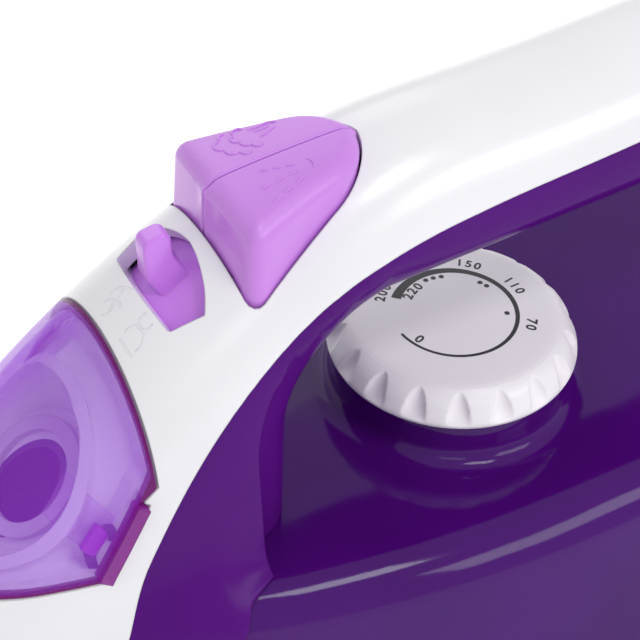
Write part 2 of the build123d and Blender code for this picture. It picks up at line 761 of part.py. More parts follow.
lid_tab_shell = cowl_block(-1.2)
with BuildPart() as fill_lid:
    add(cowl_outer)
    add(lid_region(-lid_gap), mode=Mode.INTERSECT)
    add(cowl_block(lid_wall), mode=Mode.SUBTRACT)
    add((lid_tab_shell - cowl_block(lid_wall)) & tab_region())
    add(knuckle(-run_gap + knuckle_length, knuckle_length + 3 * run_gap,
                knuckle_radius + run_gap), mode=Mode.SUBTRACT)
    for start in (0.0, 2 * (knuckle_length + run_gap)):
        add(knuckle(start, knuckle_length, knuckle_radius))
    add(knuckle(0.0, hinge_length, pin_radius + shaft_gap), mode=Mode.SUBTRACT)

with BuildPart() as lid_hinge_pin:
    add(knuckle(0.0, hinge_length, pin_radius))

# ------------------------------------------------------------------ steam control
lever_rest = degrees(asin(2.0 / lever_depth))     # the tab stands 2 mm to the right at rest
band_half = 47.0
track_half = 50.0
track_gap = 0.3
track_floor = lever_reach - lever_band - track_gap
track_plate = 1.2
band_front, band_rear = -5.6, 4.9
rib_width = 1.6
lug_front, lug_rear = -5.2, -2.0
tab_half = 2.0
tab_top = handle_height - 10.3


def slope_point(along, out):
    """Side-view place from distances along the slope and out from the lever's axis."""
    spot = lever_axis + lever_along * along + lever_out * out
    return (spot.X, spot.Z)


tab_front_along, tab_rear_along = -3.7, 3.2
tab_front = slope_point(tab_front_along, lever_depth)
tab_rear = slope_point(tab_rear_along, lever_depth)
with BuildPart() as lever_at_middle:
    add(sector(lever_reach, lever_reach - lever_band, band_half, band_front, band_rear))
    with BuildSketch(Plane.XZ):
        with BuildLine():
            Polyline(slope_point(tab_front_along, lever_reach - 1.0), tab_front,
                     (tab_front[0], tab_top - 1.2), (tab_rear[0] + 0.3, tab_top), tab_rear,
                     slope_point(tab_rear_along, lever_reach - 1.0), close=True)
        make_face()
    extrude(amount=tab_half, both=True)
    with BuildSketch(lever_plane.offset(lug_front)):
        with Locations((0, lever_reach - lever_band - 1.8)):
            Rectangle(3.0, 4.6)
    extrude(amount=lug_rear - lug_front)

with BuildPart() as steam_lever:
    add(lever_at_middle.part.rotate(
        Axis(lever_axis, lever_along), -lever_rest))

with BuildPart() as lever_track:
    add(sector(lever_depth + 4.0, track_floor - track_plate, track_half,
               band_front - track_gap - rib_width, band_rear + track_gap))
    add(sector(lever_depth + 6.0, track_floor, track_half + 8.0,
               band_front - track_gap, band_rear + 2 * track_gap), mode=Mode.SUBTRACT)
    add(button_opening, mode=Mode.SUBTRACT)
    add(sector(track_floor + 1.0, track_floor - 4.0, 30.0, lug_front - 0.6, lug_rear + 0.6),
        mode=Mode.SUBTRACT)
    add(cowl_inner, mode=Mode.INTERSECT)

rod_radius = 1.5
rod_lift = 3.0                              # over the whole swing of the lever
rod_rest_lift = rod_lift * (lever_throw / 2 + lever_rest) / lever_throw
seat_top = skirt_top + tank_wall + 1.5
rod_top = handle_height - 34.0
with BuildPart() as valve_rod:
    with Locations((valve_x, 0, seat_top + rod_rest_lift + 0.1)):
        Cone(0.5, rod_radius, 3.0, align=(Align.CENTER, Align.CENTER, Align.MIN))
    with Locations((valve_x, 0, seat_top + rod_rest_lift + 3.1)):
        Cylinder(rod_radius, rod_top - seat_top - rod_rest_lift - 3.1,
                 align=(Align.CENTER, Align.CENTER, Align.MIN))
    with Locations((valve_x, 0, rod_top - 2.0)):
        Cylinder(3.2, 2.0, align=(Align.CENTER, Align.CENTER, Align.MIN))

with BuildPart() as drip_valve_seat:
    with Locations((valve_x, 0, cover_top)):
        Cylinder(seat_radius, seat_top - cover_top, align=(Align.CENTER, Align.CENTER, Align.MIN))
    with Locations((valve_x, 0, seat_top)):
        Hole(1.0)

# ------------------------------------------------------------------ pumps and buttons
bracket_thickness = 3.0
barrel_radius = 5.4
barrel_bore = 4.4
barrel_floor = tank_top + bracket_thickness
barrel_top = barrel_floor + 15.0
piston_radius = barrel_bore - shaft_gap
stem_radius = 2.0
stem_floor = handle_height - 41.0
stem_top = stem_floor + 6.5
spout_z = barrel_floor + 3.0
spout_reach = 3.0
column_wall_x = gap_front_x - case_wall

with BuildPart() as pump_bracket:
    with BuildSketch(Plane.XY.offset(tank_top)):
        with Locations(((seam_top_x + column_wall_x) / 2, 0)):
            Rectangle(column_wall_x - seam_top_x - 1.0, 2 * (pump_y + barrel_radius + 3.0))
    extrude(amount=bracket_thickness)
    with Locations((pump_x, -pump_y, tank_top + bracket_thickness),
                   (pump_x, pump_y, tank_top + bracket_thickness)):
        Hole(1.6)


def pump_barrel(side):
    """Pump cylinder with its suction tube and a spout to the front."""
    with BuildPart() as barrel:
        with Locations((pump_x, side * pump_y, barrel_floor)):
            Cylinder(barrel_radius, barrel_top - barrel_floor,
                     align=(Align.CENTER, Align.CENTER, Align.MIN))
        with Locations((pump_x, side * pump_y, skirt_top + 6.0)):
            Cylinder(1.5, barrel_floor - skirt_top - 6.0,
                     align=(Align.CENTER, Align.CENTER, Align.MIN))
        with Locations((pump_x, side * pump_y, spout_z)):
            Cylinder(1.5, barrel_radius + spout_reach, rotation=(0, -90, 0),
                     align=(Align.CENTER, Align.CENTER, Align.MIN))
        with Locations((pump_x, side * pump_y, barrel_floor + 1.5)):
            Cylinder(barrel_bore, barrel_top - barrel_floor - 3.0, mode=Mode.SUBTRACT,
                     align=(Align.CENTER, Align.CENTER, Align.MIN))
        with Locations((pump_x, side * pump_y, barrel_top)):
            Hole(stem_radius + shaft_gap, depth=4.0)
    return barrel


def pump_piston(side):
    """Piston and its rod."""
    head = barrel_floor + 1.5 + button_travel + 1.0
    with BuildPart() as piston:
        with Locations((pump_x, side * pump_y, head)):
            Cylinder(piston_radius, 3.0, align=(Align.CENTER, Align.CENTER, Align.MIN))
            Cylinder(stem_radius, stem_floor + 5.0 - head,
                     align=(Align.CENTER, Align.CENTER, Align.MIN))
    return piston


def pump_spring(side):
    """Return spring round the piston rod, between the barrel and the button's stem."""
    wire = 0.4
    with BuildPart() as spring:
        with BuildLine():
            coil = Helix(pitch=1.84, height=stem_floor - barrel_top - 2 * wire - 0.1, radius=3.3,
                         center=(pump_x, side * pump_y, barrel_top + wire + 0.05))
        with BuildSketch(Plane(origin=coil @ 0, z_dir=coil % 0)):
            Circle(wire)
        sweep()
    return spring


def pump_button(side):
    """Half of the button pair, hollow, with the stem that takes the piston rod."""
    top_lean = degrees(atan2(button_tip_z - button_front_z, button_tip_x - button_front_x))
    crown = 34.0
    stem_rear = pump_x + 5.6
    with BuildPart() as button:
        loft([button_outline(button_floor),
              button_outline(handle_height + 1.0, (button_floor - handle_height) * button_draft)],
             ruled=True)
        with Locations(Location((button_front_x - 10.0, 0, button_front_z - 1.0 - crown),
                                (0, 90 - top_lean, 0))):
            Cylinder(crown, 60.0, mode=Mode.INTERSECT,
                     align=(Align.CENTER, Align.CENTER, Align.MIN))
        add(prism_up(button_outline(button_floor, -button_wall), 11.0), mode=Mode.SUBTRACT)
        with Locations((button_front_x + 0.4, side * button_wall / 2, button_floor)):
            Box(button_tip_x - button_front_x - 1.4, button_wall, 11.5,
                align=(Align.MIN, Align.CENTER, Align.MIN))
        with Locations((button_front_x + 0.4, side * 1.9, stem_floor)):
            Box(stem_rear - button_front_x - 0.4, 3.2, button_floor + 1.0 - stem_floor,
                align=(Align.MIN, Align.CENTER, Align.MIN))
        with Locations((stem_rear, side * (pump_y / 2 + 0.5), stem_floor)):
            Box(9.0, pump_y, stem_top - stem_floor, align=(Align.MAX, Align.CENTER, Align.MIN))
        with Locations((pump_x, side * pump_y, stem_floor)):
            Cylinder(4.6, stem_top - stem_floor, align=(Align.CENTER, Align.CENTER, Align.MIN))
        with Locations((pump_x, side * pump_y, stem_floor)):
            Cylinder(stem_radius + 0.05, 5.0, mode=Mode.SUBTRACT,
                     align=(Align.CENTER, Align.CENTER, Align.MIN))
        for lift in (0.0, button_travel / 2, button_travel):
            swept = sector(lever_reach + slide_gap, lever_reach - 6.0, band_half + lever_throw / 2,
                           band_front, band_rear + slide_gap)
            add(swept.moved(Location((0, 0, lift))), mode=Mode.SUBTRACT)
        with Locations((0, -side * side_reach / 2 + side * button_seam / 2, 0)):
            Box(2 * body_length, side_reach, 4 * body_length, mode=Mode.SUBTRACT)
    return button


spray_barrel, steam_barrel = pump_barrel(-1), pump_barrel(1)
spray_piston, steam_piston = pump_piston(-1), pump_piston(1)
spray_spring, steam_spring = pump_spring(-1), pump_spring(1)
spray_button, steam_button = pump_button(-1), pump_button(1)


def tube_along(points, radius, bend, bore=0.0):
    """Tube along straight runs joined by bends."""
    with BuildPart() as tube:
        with BuildLine():
            line = FilletPolyline(*points, radius=bend)
        with BuildSketch(Plane(origin=line @ 0, z_dir=line % 0)):
            Circle(radius)
            if bore:
                Circle(bore, mode=Mode.SUBTRACT)
        sweep()
    return tube


spout_x = pump_x - barrel_radius - spout_reach
nozzle_tail = nozzle_centre - nozzle_out * nozzle_length
hose_turn = nozzle_tail - nozzle_out * 7.0
hose_side = neck_radius + 5.2
spray_hose = tube_along(
    [(spout_x, -pump_y, spout_z), (spout_x - 6.0, -pump_y, spout_z),
     (neck_x + 10.0, -hose_side, spout_z - 3.5), (neck_x - 4.0, -hose_side, spout_z - 5.0),
     (tank_nose_x - 3.0, -5.0, spout_z - 5.0), tuple(hose_turn), tuple(nozzle_tail)],
    2.0, 3.5, bore=1.2)
steam_pipe = tube_along(
    [(spout_x, pump_y, spout_z), (pipe_x, pipe_y, spout_z), (pipe_x, pipe_y, cover_top)],
    pipe_radius, 2.4, bore=1.0)

with BuildPart() as spray_nozzle:
    with BuildSketch(nozzle_plane.offset(-nozzle_length)):
        Circle(2.6)
    extrude(amount=nozzle_length - 5.0)
    with BuildSketch(nozzle_plane.offset(-5.0)):
        Circle(nozzle_radius)
    extrude(amount=7.5)
    with BuildSketch(nozzle_plane.offset(2.5)):
        Circle(0.5)
    extrude(amount=-13.6, mode=Mode.SUBTRACT)

with BuildPart() as nozzle_ring:
    with BuildSketch(nozzle_plane.offset(0.4)):
        Circle(nozzle_radius + nozzle_ring_width)
        Circle(nozzle_radius, mode=Mode.SUBTRACT)
    extrude(amount=1.4)

# ------------------------------------------------------------------ temperature control
scallops = 16
scallop_radius = 5.0
shaft_radius = 3.0
dial_radius = dial_diameter / 2
shaft_foot = 34.0
dial_rim = dial_top - skirt_of_dial
dial_hub = 6.0
widest_z = dial_top - 6.3
face_radius = dial_radius - 5.2

with BuildPart() as temperature_dial:
    with BuildSketch(Plane.XZ):
        with BuildLine():
            Polyline((0, dial_rim + 1.0), (dial_radius - 2.2, dial_rim + 1.0),
                     (dial_radius - 1.4, dial_rim), (dial_radius - 0.4, dial_rim),
                     (dial_radius, widest_z))
            Spline((dial_radius, widest_z), (dial_radius - 1.9, dial_top - 2.1),
                   (face_radius, dial_top), tangents=[(-0.2, 1), (-1, 0.15)])
            Line((face_radius, dial_top), (0, dial_top + 0.6))
            Line((0, dial_top + 0.6), (0, dial_rim + 1.0))
        make_face()
    revolve(axis=Axis.Z)
    with Locations((0, 0, dial_rim)):
        with PolarLocations(dial_radius + scallop_radius - 1.5, scallops, start_angle=360 / scallops / 2):
            Cylinder(scallop_radius, 12.0, mode=Mode.SUBTRACT,
                     align=(Align.CENTER, Align.CENTER, Align.MIN))
    with BuildSketch(Plane.XY.offset(dial_rim)):
        Circle(dial_radius - 3.6)
        Circle(dial_hub, mode=Mode.SUBTRACT)
    extrude(amount=5.0, mode=Mode.SUBTRACT)
    with Locations((0, 0, dial_rim - 4.0)):
        Cylinder(dial_hub, 5.5, align=(Align.CENTER, Align.CENTER, Align.MIN))
    with Locations((0, 0, dial_rim - 4.0)):
        Cylinder(shaft_radius, 9.5, mode=Mode.SUBTRACT,
                 align=(Align.CENTER, Align.CENTER, Align.MIN))

with BuildPart() as dial_shaft:
    with Locations((0, 0, shaft_foot)):
        Cylinder(shaft_radius, dial_rim + 5.5 - shaft_foot,
                 align=(Align.CENTER, Align.CENTER, Align.MIN))

bracket_top = casting_top + 1.2
post_x = 9.0
with BuildPart() as thermostat_bracket:
    with BuildSketch(Plane.XY.offset(casting_top)):
        with Locations((2.0, 0)):
            RectangleRounded(26.0, 12.0, 3.0)
    extrude(amount=bracket_top - casting_top)

with BuildPart() as thermostat:
    with Locations((post_x, 0, bracket_top)):
        Cylinder(4.5, 12.0, align=(Align.CENTER, Align.CENTER, Align.MIN))
    for level in (4.0, 8.0):
        with Locations((post_x / 2 - 4.0, 0, bracket_top + level)):
            Box(post_x + 12.0, 5.0, 0.6, align=(Align.CENTER, Align.CENTER, Align.MIN))
    with Locations((0, 0, bracket_top + 12.0)):
        Cylinder(4.0, shaft_foot - bracket_top - 12.4, align=(Align.CENTER, Align.CENTER, Align.MIN))
    with Locations((post_x / 2, 0, bracket_top + 11.0)):
        Box(post_x + 8.0, 8.0, 1.6, align=(Align.CENTER, Align.CENTER, Align.MIN))

with BuildPart() as thermal_fuse:
    with Locations((34.0, 10.0, casting_top + 2.6)):
        Cylinder(2.0, 12.0, rotation=(0, 90, 0))
        Box(6.0, 8.0, 5.2)

# ------------------------------------------------------------------ electrical parts
with BuildPart() as cord_gland:
    with Locations(gland_plane):
        Sphere(ball_radius)
    with BuildSketch(gland_plane.offset(4.0)):
        Circle(sleeve_radius)
    with BuildSketch(gland_plane.offset(20.0)):
        Circle(sleeve_radius - 0.8)
    loft()
    with BuildSketch(gland_plane.offset(20.5)):
        Circle(cord_bore)
    extrude(amount=-30.0, mode=Mode.SUBTRACT)

with BuildPart() as gland_clamp:
    with BuildSketch(gland_plane.offset(-ball_radius - 3.0)):
        Rectangle(handle_width, 2 * ball_radius + 3.0)
    extrude(amount=ball_radius + 3.0 - 0.5)
    add(cavity.part, mode=Mode.INTERSECT)
    with Locations(gland_plane):
        Sphere(ball_radius + track_gap, mode=Mode.SUBTRACT)
    with BuildSketch(gland_plane.offset(-ball_radius - 5.0)):
        RectangleRounded(13.0, 8.0, 3.9)
    extrude(amount=ball_radius + 5.0, mode=Mode.SUBTRACT)

block_z = 38.0
block_depth, block_height = 13.0, 15.0
terminals = (-11.0, 0.0, 11.0)
with BuildPart() as terminal_block:
    with Locations((housing_front, 0, block_z)):
        Box(block_depth, 34.0, block_height, align=(Align.MIN, Align.CENTER, Align.CENTER))
    for y in terminals:
        with Locations((housing_front + block_depth, y, block_z)):
            Cylinder(3.0, 4.0, rotation=(0, -90, 0), mode=Mode.SUBTRACT,
                     align=(Align.CENTER, Align.CENTER, Align.MIN))

with BuildPart() as terminal_screws:
    for y in terminals:
        with Locations((housing_front + block_depth - 4.0, y, block_z)):
            Cylinder(2.4, 2.4, rotation=(0, 90, 0),
                     align=(Align.CENTER, Align.CENTER, Align.MIN))

wire_radius = 1.2
wire_top = gland_centre - gland_out * (ball_radius + 3.5)
wires = [
    tube_along([(housing_front + 5.0, y, block_z + block_height / 2),
                (housing_front + 5.0, y, block_z + 20.0),
                (wire_top.X - 2.0, y / 3.2, wire_top.Z - 22.0), (wire_top.X, y / 3.2, wire_top.Z)],
               wire_radius, 3.5)
    for y in terminals]
with BuildPart() as lead_wires:
    for wire in wires:
        add(wire.part)

with BuildPart() as pilot_lens:
    with Locations((gap_rear_x - 0.8, 0, lens_z)):
        Cylinder(lens_radius, case_wall + 1.8, rotation=(0, 90, 0),
                 align=(Align.CENTER, Align.CENTER, Align.MIN))

pieces = {
    "soleplate": soleplate, "heating_element": heating_element, "heater_casting": heater_casting,
    "chamber_gasket": chamber_gasket, "chamber_cover": chamber_cover, "heat_skirt": heat_skirt,
    "base_screws": base_screws, "water_tank": water_tank, "tank_base": tank_base,
    "upper_shell": upper_shell, "handle_fairing": handle_fairing, "heel_housing": heel_housing,
    "rear_cover": rear_cover, "cover_screws": cover_screws, "fill_cup": fill_cup,
    "fill_seal": fill_seal, "fill_lid": fill_lid, "lid_hinge_pin": lid_hinge_pin,
    "steam_lever": steam_lever, "lever_track": lever_track, "valve_rod": valve_rod,
    "drip_valve_seat": drip_valve_seat, "pump_bracket": pump_bracket,
    "spray_pump_barrel": spray_barrel, "steam_pump_barrel": steam_barrel,
    "spray_piston": spray_piston, "steam_piston": steam_piston,
    "spray_spring": spray_spring, "steam_spring": steam_spring,
    "spray_button": spray_button, "steam_button": steam_button,
    "spray_hose": spray_hose, "steam_pipe": steam_pipe, "spray_nozzle": spray_nozzle,
    "nozzle_ring": nozzle_ring, "temperature_dial": temperature_dial, "dial_shaft": dial_shaft,
    "thermostat_bracket": thermostat_bracket, "thermostat": thermostat,
    "thermal_fuse": thermal_fuse, "cord_gland": cord_gland, "gland_clamp": gland_clamp,
    "terminal_block": terminal_block, "terminal_screws": terminal_screws,
    "lead_wires": lead_wires, "pilot_lens": pilot_lens,
}
for name, piece in pieces.items():
    piece.part.label = name
    export_step(piece.part, f"parts/{name}.step")
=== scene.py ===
"""Looks of a hand-held steam iron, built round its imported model.

Shapes are worked out in millimetres and made in metres. +Z is up, the nose points to -X and the
left side of the iron is -Y. The dial's axis passes through x = 0.
"""

import bmesh
import bpy
import numpy as np
from mathutils import Matrix, Vector
from mathutils.geometry import delaunay_2d_cdt


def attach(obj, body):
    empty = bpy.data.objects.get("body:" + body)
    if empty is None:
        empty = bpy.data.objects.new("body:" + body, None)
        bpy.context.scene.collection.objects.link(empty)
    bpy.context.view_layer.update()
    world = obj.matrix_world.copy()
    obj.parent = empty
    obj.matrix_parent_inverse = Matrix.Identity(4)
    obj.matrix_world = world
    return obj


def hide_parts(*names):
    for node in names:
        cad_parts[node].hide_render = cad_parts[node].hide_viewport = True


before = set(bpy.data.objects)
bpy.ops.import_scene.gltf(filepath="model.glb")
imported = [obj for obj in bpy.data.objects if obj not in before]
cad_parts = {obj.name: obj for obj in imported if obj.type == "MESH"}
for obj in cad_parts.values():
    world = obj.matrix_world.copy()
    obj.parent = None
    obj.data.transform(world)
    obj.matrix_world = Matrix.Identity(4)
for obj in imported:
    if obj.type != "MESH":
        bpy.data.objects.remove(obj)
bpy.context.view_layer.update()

MM = 0.001
# rings along the body and the tank, and points round each ring
STATIONS = 300
COLUMNS = 320

# ---- sizes shared by the pieces
BODY_REAR_X = 98.0
HEEL_X = 140.0
COVER_X = 132.0
SKIRT_TOP = 24.0
TANK_TOP = 70.0
LID_X = -70.5
LID_BASE = 78.3
GAP_FRONT, GAP_REAR = -43.0, 96.0
HANDLE_HALF = 16.6
WALL = 3.0
# foremost ring of the body; foremost ring and centre height of the tank
NOSE_RING = -138.45
TANK_RING, TANK_CENTRE = -106.0, 46.0
# ends of the cutting blocks, clear of the iron
FAR, BELOW = 170.0, -20.0

# crown of nose, cowl and handle: place, height, radius of the round top, flare of the sides
CROWN = np.array([
    (-138.6, 30.0, 3.0, 2.0), (-137.0, 44.0, 4.0, 2.0), (-130.0, 60.0, 7.0, 3.0),
    (-119.8, 71.6, 11.5, 4.0), (-101.8, 87.2, 17.5, 5.0), (-83.7, 102.8, 21.0, 7.0),
    (-68.0, 115.0, 21.5, 8.0), (-52.0, 125.4, 20.5, 8.0), (-38.0, 131.5, 18.8, 6.0),
    (-22.0, 136.5, 17.0, 3.0), (0.0, 138.3, 16.5, 0.0), (45.0, 142.0, 16.5, 0.0),
    (85.0, 143.5, 16.5, 0.0), (104.0, 139.5, 16.5, 0.0), (118.0, 131.0, 16.5, 0.0),
    (128.0, 119.0, 16.5, 0.0), (136.0, 103.0, 16.5, 0.0)])
# tank outline at the skirt, and what it gains up to the shoulder: nose, widest place, half width,
# radius of the tip, radius of the rear corners
TANK_FOOT = (-138.5, 30.0, 56.5, 6.0, 14.0)
TANK_GAIN = (16.5, -25.0, -14.0, 2.0, -2.0)
TANK_RISE = 42.0
# heel block: height, back, half width
HEEL = np.array([(12.0, 140.0, 47.6), (70.0, 140.0, 36.5), (104.0, 136.0, 18.0)])
# fillet between cowl and tank: place, reach
FILLET = np.array([(-138.0, 2.0), (-110.0, 10.0), (-62.0, 11.0), (-58.0, 7.5), (-50.0, 3.0),
                   (-45.7, 0.6), (-43.0, 0.3)])
# a line that runs inside the body: place, height
CENTRE = np.array([(-138.5, 27.0), (-130.0, 36.0), (-100.0, 50.0), (98.0, 54.0), (140.0, 50.0)])
# edge between the white shell and the purple casing, from the side
SPLIT = np.array([
    (-103.0, 24.0), (-78.0, 71.0), (-60.0, 101.3), (-42.0, 116.6), (-19.0, 123.8),
    (15.0, 127.5), (85.0, 130.5), (112.0, 122.0), (132.0, 104.0)])


# ---- curves and fields
def spline(x, knots, values):
    """Natural cubic spline: piecewise cubics with equal slope and bend where they meet."""
    step = np.diff(knots)
    rise = np.diff(values) / step
    size = len(knots)
    system = np.eye(size)
    inner = np.arange(1, size - 1)
    system[inner, inner - 1] = step[:-1]
    system[inner, inner] = 2 * (step[:-1] + step[1:])
    system[inner, inner + 1] = step[1:]
    target = np.zeros(size)
    target[inner] = 6 * np.diff(rise)
    bend = np.linalg.solve(system, target)
    x = np.clip(x, knots[0], knots[-1])
    k = np.clip(np.searchsorted(knots, x) - 1, 0, size - 2)
    h, a, b = step[k], knots[k + 1] - x, x - knots[k]
    return ((bend[k] * a**3 + bend[k + 1] * b**3) / (6 * h)
            + (values[k] / h - bend[k] * h / 6) * a + (values[k + 1] / h - bend[k + 1] * h / 6) * b)


def crown_at(x, column):
    """One column of the crown's table at places along the iron."""
    return spline(x, CROWN[:, 0], CROWN[:, column])


def curve_through(points, count):
    """Smooth plane curve through points, as a spline of its length."""
    points = np.asarray(points, float)
    along = np.r_[0.0, np.cumsum(np.hypot(*np.diff(points, axis=0).T))]
    t = np.linspace(0.0, along[-1], count)
    return np.stack([spline(t, along, points[:, k]) for k in range(points.shape[1])], axis=1)


def left_of(way):
    """Unit vectors to the left of directions in a plane: (-b, a) / sqrt(a^2 + b^2)."""
    way = way / np.linalg.norm(way, axis=1, keepdims=True)
    return np.stack([-way[:, 1], way[:, 0]], axis=1)


def circle(angle):
    """Points (cos a, sin a) of the unit circle."""
    return np.stack([np.cos(angle), np.sin(angle)], axis=-1)


def full_turn(count):
    """Angles evenly round a circle."""
    return np.linspace(0.0, 2 * np.pi, count, endpoint=False)


def arch(radius, off):
    """Height of a round at an offset from its middle: sqrt(r^2 - d^2), and nothing past it."""
    return np.sqrt(np.maximum(radius**2 - off**2, 0.0))


def plan_half(x, nose, widest, half, tip, rear, corner):
    """Half width of the iron's outline: round tip, arc to the widest point, straight side and
    a round rear corner. Negative, as the distance, outside its ends."""
    reach = widest - nose - tip
    arc = (reach**2 + half**2 - tip**2) / (2 * (half - tip))
    lean = np.arctan2(reach, arc - half)
    meet = widest - arc * np.sin(lean)
    side = half - arc + arch(arc, np.minimum(x - widest, 0.0))
    side = side - corner + arch(corner, np.maximum(x - rear + corner, 0.0))
    width = np.where(x < meet, arch(tip, x - nose - tip), side)
    width = np.where(x < nose, x - nose, width)
    return np.where(x > rear, rear - x, width)


def past_edge(aside, over, rounding):
    """Distance outside a rounded edge, from the distances past its two faces: the hypotenuse
    from the rounding's centre, less its radius."""
    aside, over = aside + rounding, over + rounding
    outer = np.hypot(np.maximum(aside, 0), np.maximum(over, 0))
    return outer + np.minimum(np.maximum(aside, over), 0.0) - rounding


def blended(a, b, reach):
    """The smaller of two distances, with a fillet where they are alike."""
    share = np.clip(0.5 + 0.5 * (b - a) / reach, 0.0, 1.0)
    return b + (a - b) * share - reach * share * (1.0 - share)


def cowl_field(x, y, z, inset):
    """Distance outside the arch of cowl and handle, in the plane across the iron. The column
    that the handle stands on is drawn in towards its rear face, and less so under the handle."""
    draw, draw_from, draw_run, draw_top, draw_fade = 2.0, -58.0, 15.0, 110.0, 16.0
    crown, radius, flare = (crown_at(x, k) for k in (1, 2, 3))
    slope = crown_at(x + 0.5, 1) - crown_at(x - 0.5, 1)
    crown = crown - inset * np.hypot(1.0, slope)
    radius = np.maximum(radius - inset, 0.5)
    lean = np.radians(flare)
    centre = crown - radius
    side = np.abs(y)
    edge = radius * np.cos(lean) + (centre + radius * np.sin(lean) - z) * np.tan(lean)
    edge = edge - (draw * np.clip((x - draw_from) / draw_run, 0, 1) ** 2
                   * np.clip((draw_top - z) / draw_fade, 0, 1))
    above = (z - centre) * np.cos(lean) > side * np.sin(lean)
    field = np.where(above, np.hypot(side, z - centre) - radius, (side - edge) * np.cos(lean))
    return np.maximum(field, np.maximum(CROWN[0, 0] + inset - x, x - CROWN[-1, 0] + inset))


def tank_field(x, y, z, inset):
    """Distance outside the tank: outlines drawn together from skirt to shoulder, flat top."""
    up = np.clip((z - SKIRT_TOP) / TANK_RISE, -0.3, 1.3)
    nose, widest, half, tip, corner = (foot + gain * up for foot, gain in zip(TANK_FOOT, TANK_GAIN))
    half = plan_half(x, nose + inset, widest, half - inset, np.maximum(tip - inset, 0.6),
                     BODY_REAR_X - inset, np.maximum(corner - inset, 0.6))
    return past_edge(np.abs(y) - half, z - TANK_TOP + inset, 7.0)


def heel_field(x, y, z, inset):
    """Distance outside the heel block, which narrows upwards and has round upright corners."""
    corner = 8.0
    half, back = (np.interp(z, HEEL[:, 0], HEEL[:, k]) - inset for k in (2, 1))
    past = np.maximum(x - back + corner, 0.0)
    before = np.maximum(BODY_REAR_X + inset + corner - x, 0.0)
    half = half - 2 * corner + arch(corner, past) + arch(corner, before)
    field = past_edge(np.abs(y) - half, z - HEEL[-1, 0] + inset, 6.0)
    outside = np.maximum(BODY_REAR_X + inset - x, x - back)
    return -blended(-np.maximum(field, outside), z - HEEL[0, 0] - inset, 5.0)


def body_field(x, y, z, inset):
    """Distance outside nose, cowl, tank, handle and heel taken together."""
    fillet = np.interp(x, FILLET[:, 0], FILLET[:, 1])
    front = blended(cowl_field(x, y, z, inset), tank_field(x, y, z, inset), fillet)
    front = np.maximum(front, SKIRT_TOP - 5.0 + inset - z)
    return blended(front, heel_field(x, y, z, inset), 5.0)


# ---- meshes
def quads(rows, columns, ring=False):
    """Corner numbers of the squares of a grid; a ring's last column joins its first."""
    number = np.arange(rows * columns).reshape(rows, columns)
    if ring:
        number = np.column_stack([number, number[:, 0]])
    corners = number[:-1, :-1], number[:-1, 1:], number[1:, 1:], number[1:, :-1]
    return np.stack(corners, axis=-1).reshape(-1, 4)


def placed(name, data):
    """Object that holds some data, put into the scene."""
    thing = bpy.data.objects.new(name, data)
    bpy.context.scene.collection.objects.link(thing)
    return thing


def mesh_object(name, points, faces, outward=True):
    """Object from points in millimetres and lists of corners."""
    mesh = bpy.data.meshes.new(name)
    mesh.from_pydata((np.asarray(points, float).reshape(-1, 3) * MM).tolist(), [], faces)
    if outward:
        shape = bmesh.new()
        shape.from_mesh(mesh)
        bmesh.ops.remove_doubles(shape, verts=shape.verts, dist=1e-6)
        bmesh.ops.dissolve_degenerate(shape, edges=shape.edges, dist=1e-7)
        bmesh.ops.recalc_face_normals(shape, faces=shape.faces)
        shape.to_mesh(mesh)
        shape.free()
    return placed(name, mesh)


def ring_block(name, *blocks):
    """Closed solids, each through rings of points with a face on each end, in one mesh."""
    points, faces, start = [], [], 0
    for rings in blocks:
        rows, columns = rings.shape[:2]
        end = start + rows * columns
        faces += (quads(rows, columns, ring=True) + start).tolist()
        faces.append(list(range(start, start + columns))[::-1])
        faces.append(list(range(end - columns, end)))
        points.append(rings.reshape(-1, 3))
        start = end
    return mesh_object(name, np.vstack(points), faces)


def side_block(name, outline, left=-90.0, right=90.0):
    """Prism across the iron, between two sides, from an outline in x and z."""
    outline = np.asarray(outline, float)
    return ring_block(name, np.stack([np.insert(outline, 1, y, axis=1) for y in (left, right)]))


def cast_rings(field, x, centre, inset):
    """Rings of points where rays across the iron, from a centre line, leave a field. Each point
    is found by halving its ray 24 times."""
    reach = 120.0
    angle = full_turn(COLUMNS)
    x = x[:, None] + 0 * angle
    away_y, away_z = np.sin(angle) + 0 * x, np.cos(angle) + 0 * x
    low, high = np.zeros_like(x), np.full_like(x, reach)
    for _ in range(24):
        middle = (low + high) / 2
        inside = field(x, middle * away_y, centre[:, None] + middle * away_z, inset) < 0.0
        low, high = np.where(inside, middle, low), np.where(inside, high, middle)
    return np.stack([x, low * away_y, centre[:, None] + low * away_z], axis=-1)


def closed(mesh):
    """Mesh in triangles, with any slit of up to four sides filled, as a boolean can leave one."""
    shape = bmesh.new()
    shape.from_mesh(mesh)
    bmesh.ops.holes_fill(shape, edges=[edge for edge in shape.edges if edge.is_boundary], sides=4)
    bmesh.ops.triangulate(shape, faces=shape.faces[:])
    shape.to_mesh(mesh)
    shape.free()
    return mesh


def cut(piece, *tools, operation="DIFFERENCE", keep=False):
    """Piece with other closed solids taken off, joined on, or as what they share."""
    closed(piece.data)
    for tool in tools:
        change = piece.modifiers.new("cut", "BOOLEAN")
        change.object, change.operation, change.solver = tool, operation, "EXACT"
    bpy.context.view_layer.update()
    done = piece.evaluated_get(bpy.context.evaluated_depsgraph_get())
    mesh = closed(bpy.data.meshes.new_from_object(done))
    piece.modifiers.clear()
    piece.data = mesh
    if not keep:
        for tool in tools:
            bpy.data.objects.remove(tool)
    return piece


def part_of(piece, zone, name):
    """Second piece with its own mesh: what the first shares with a zone."""
    return cut(placed(name, piece.data.copy()), zone, operation="INTERSECT", keep=True)


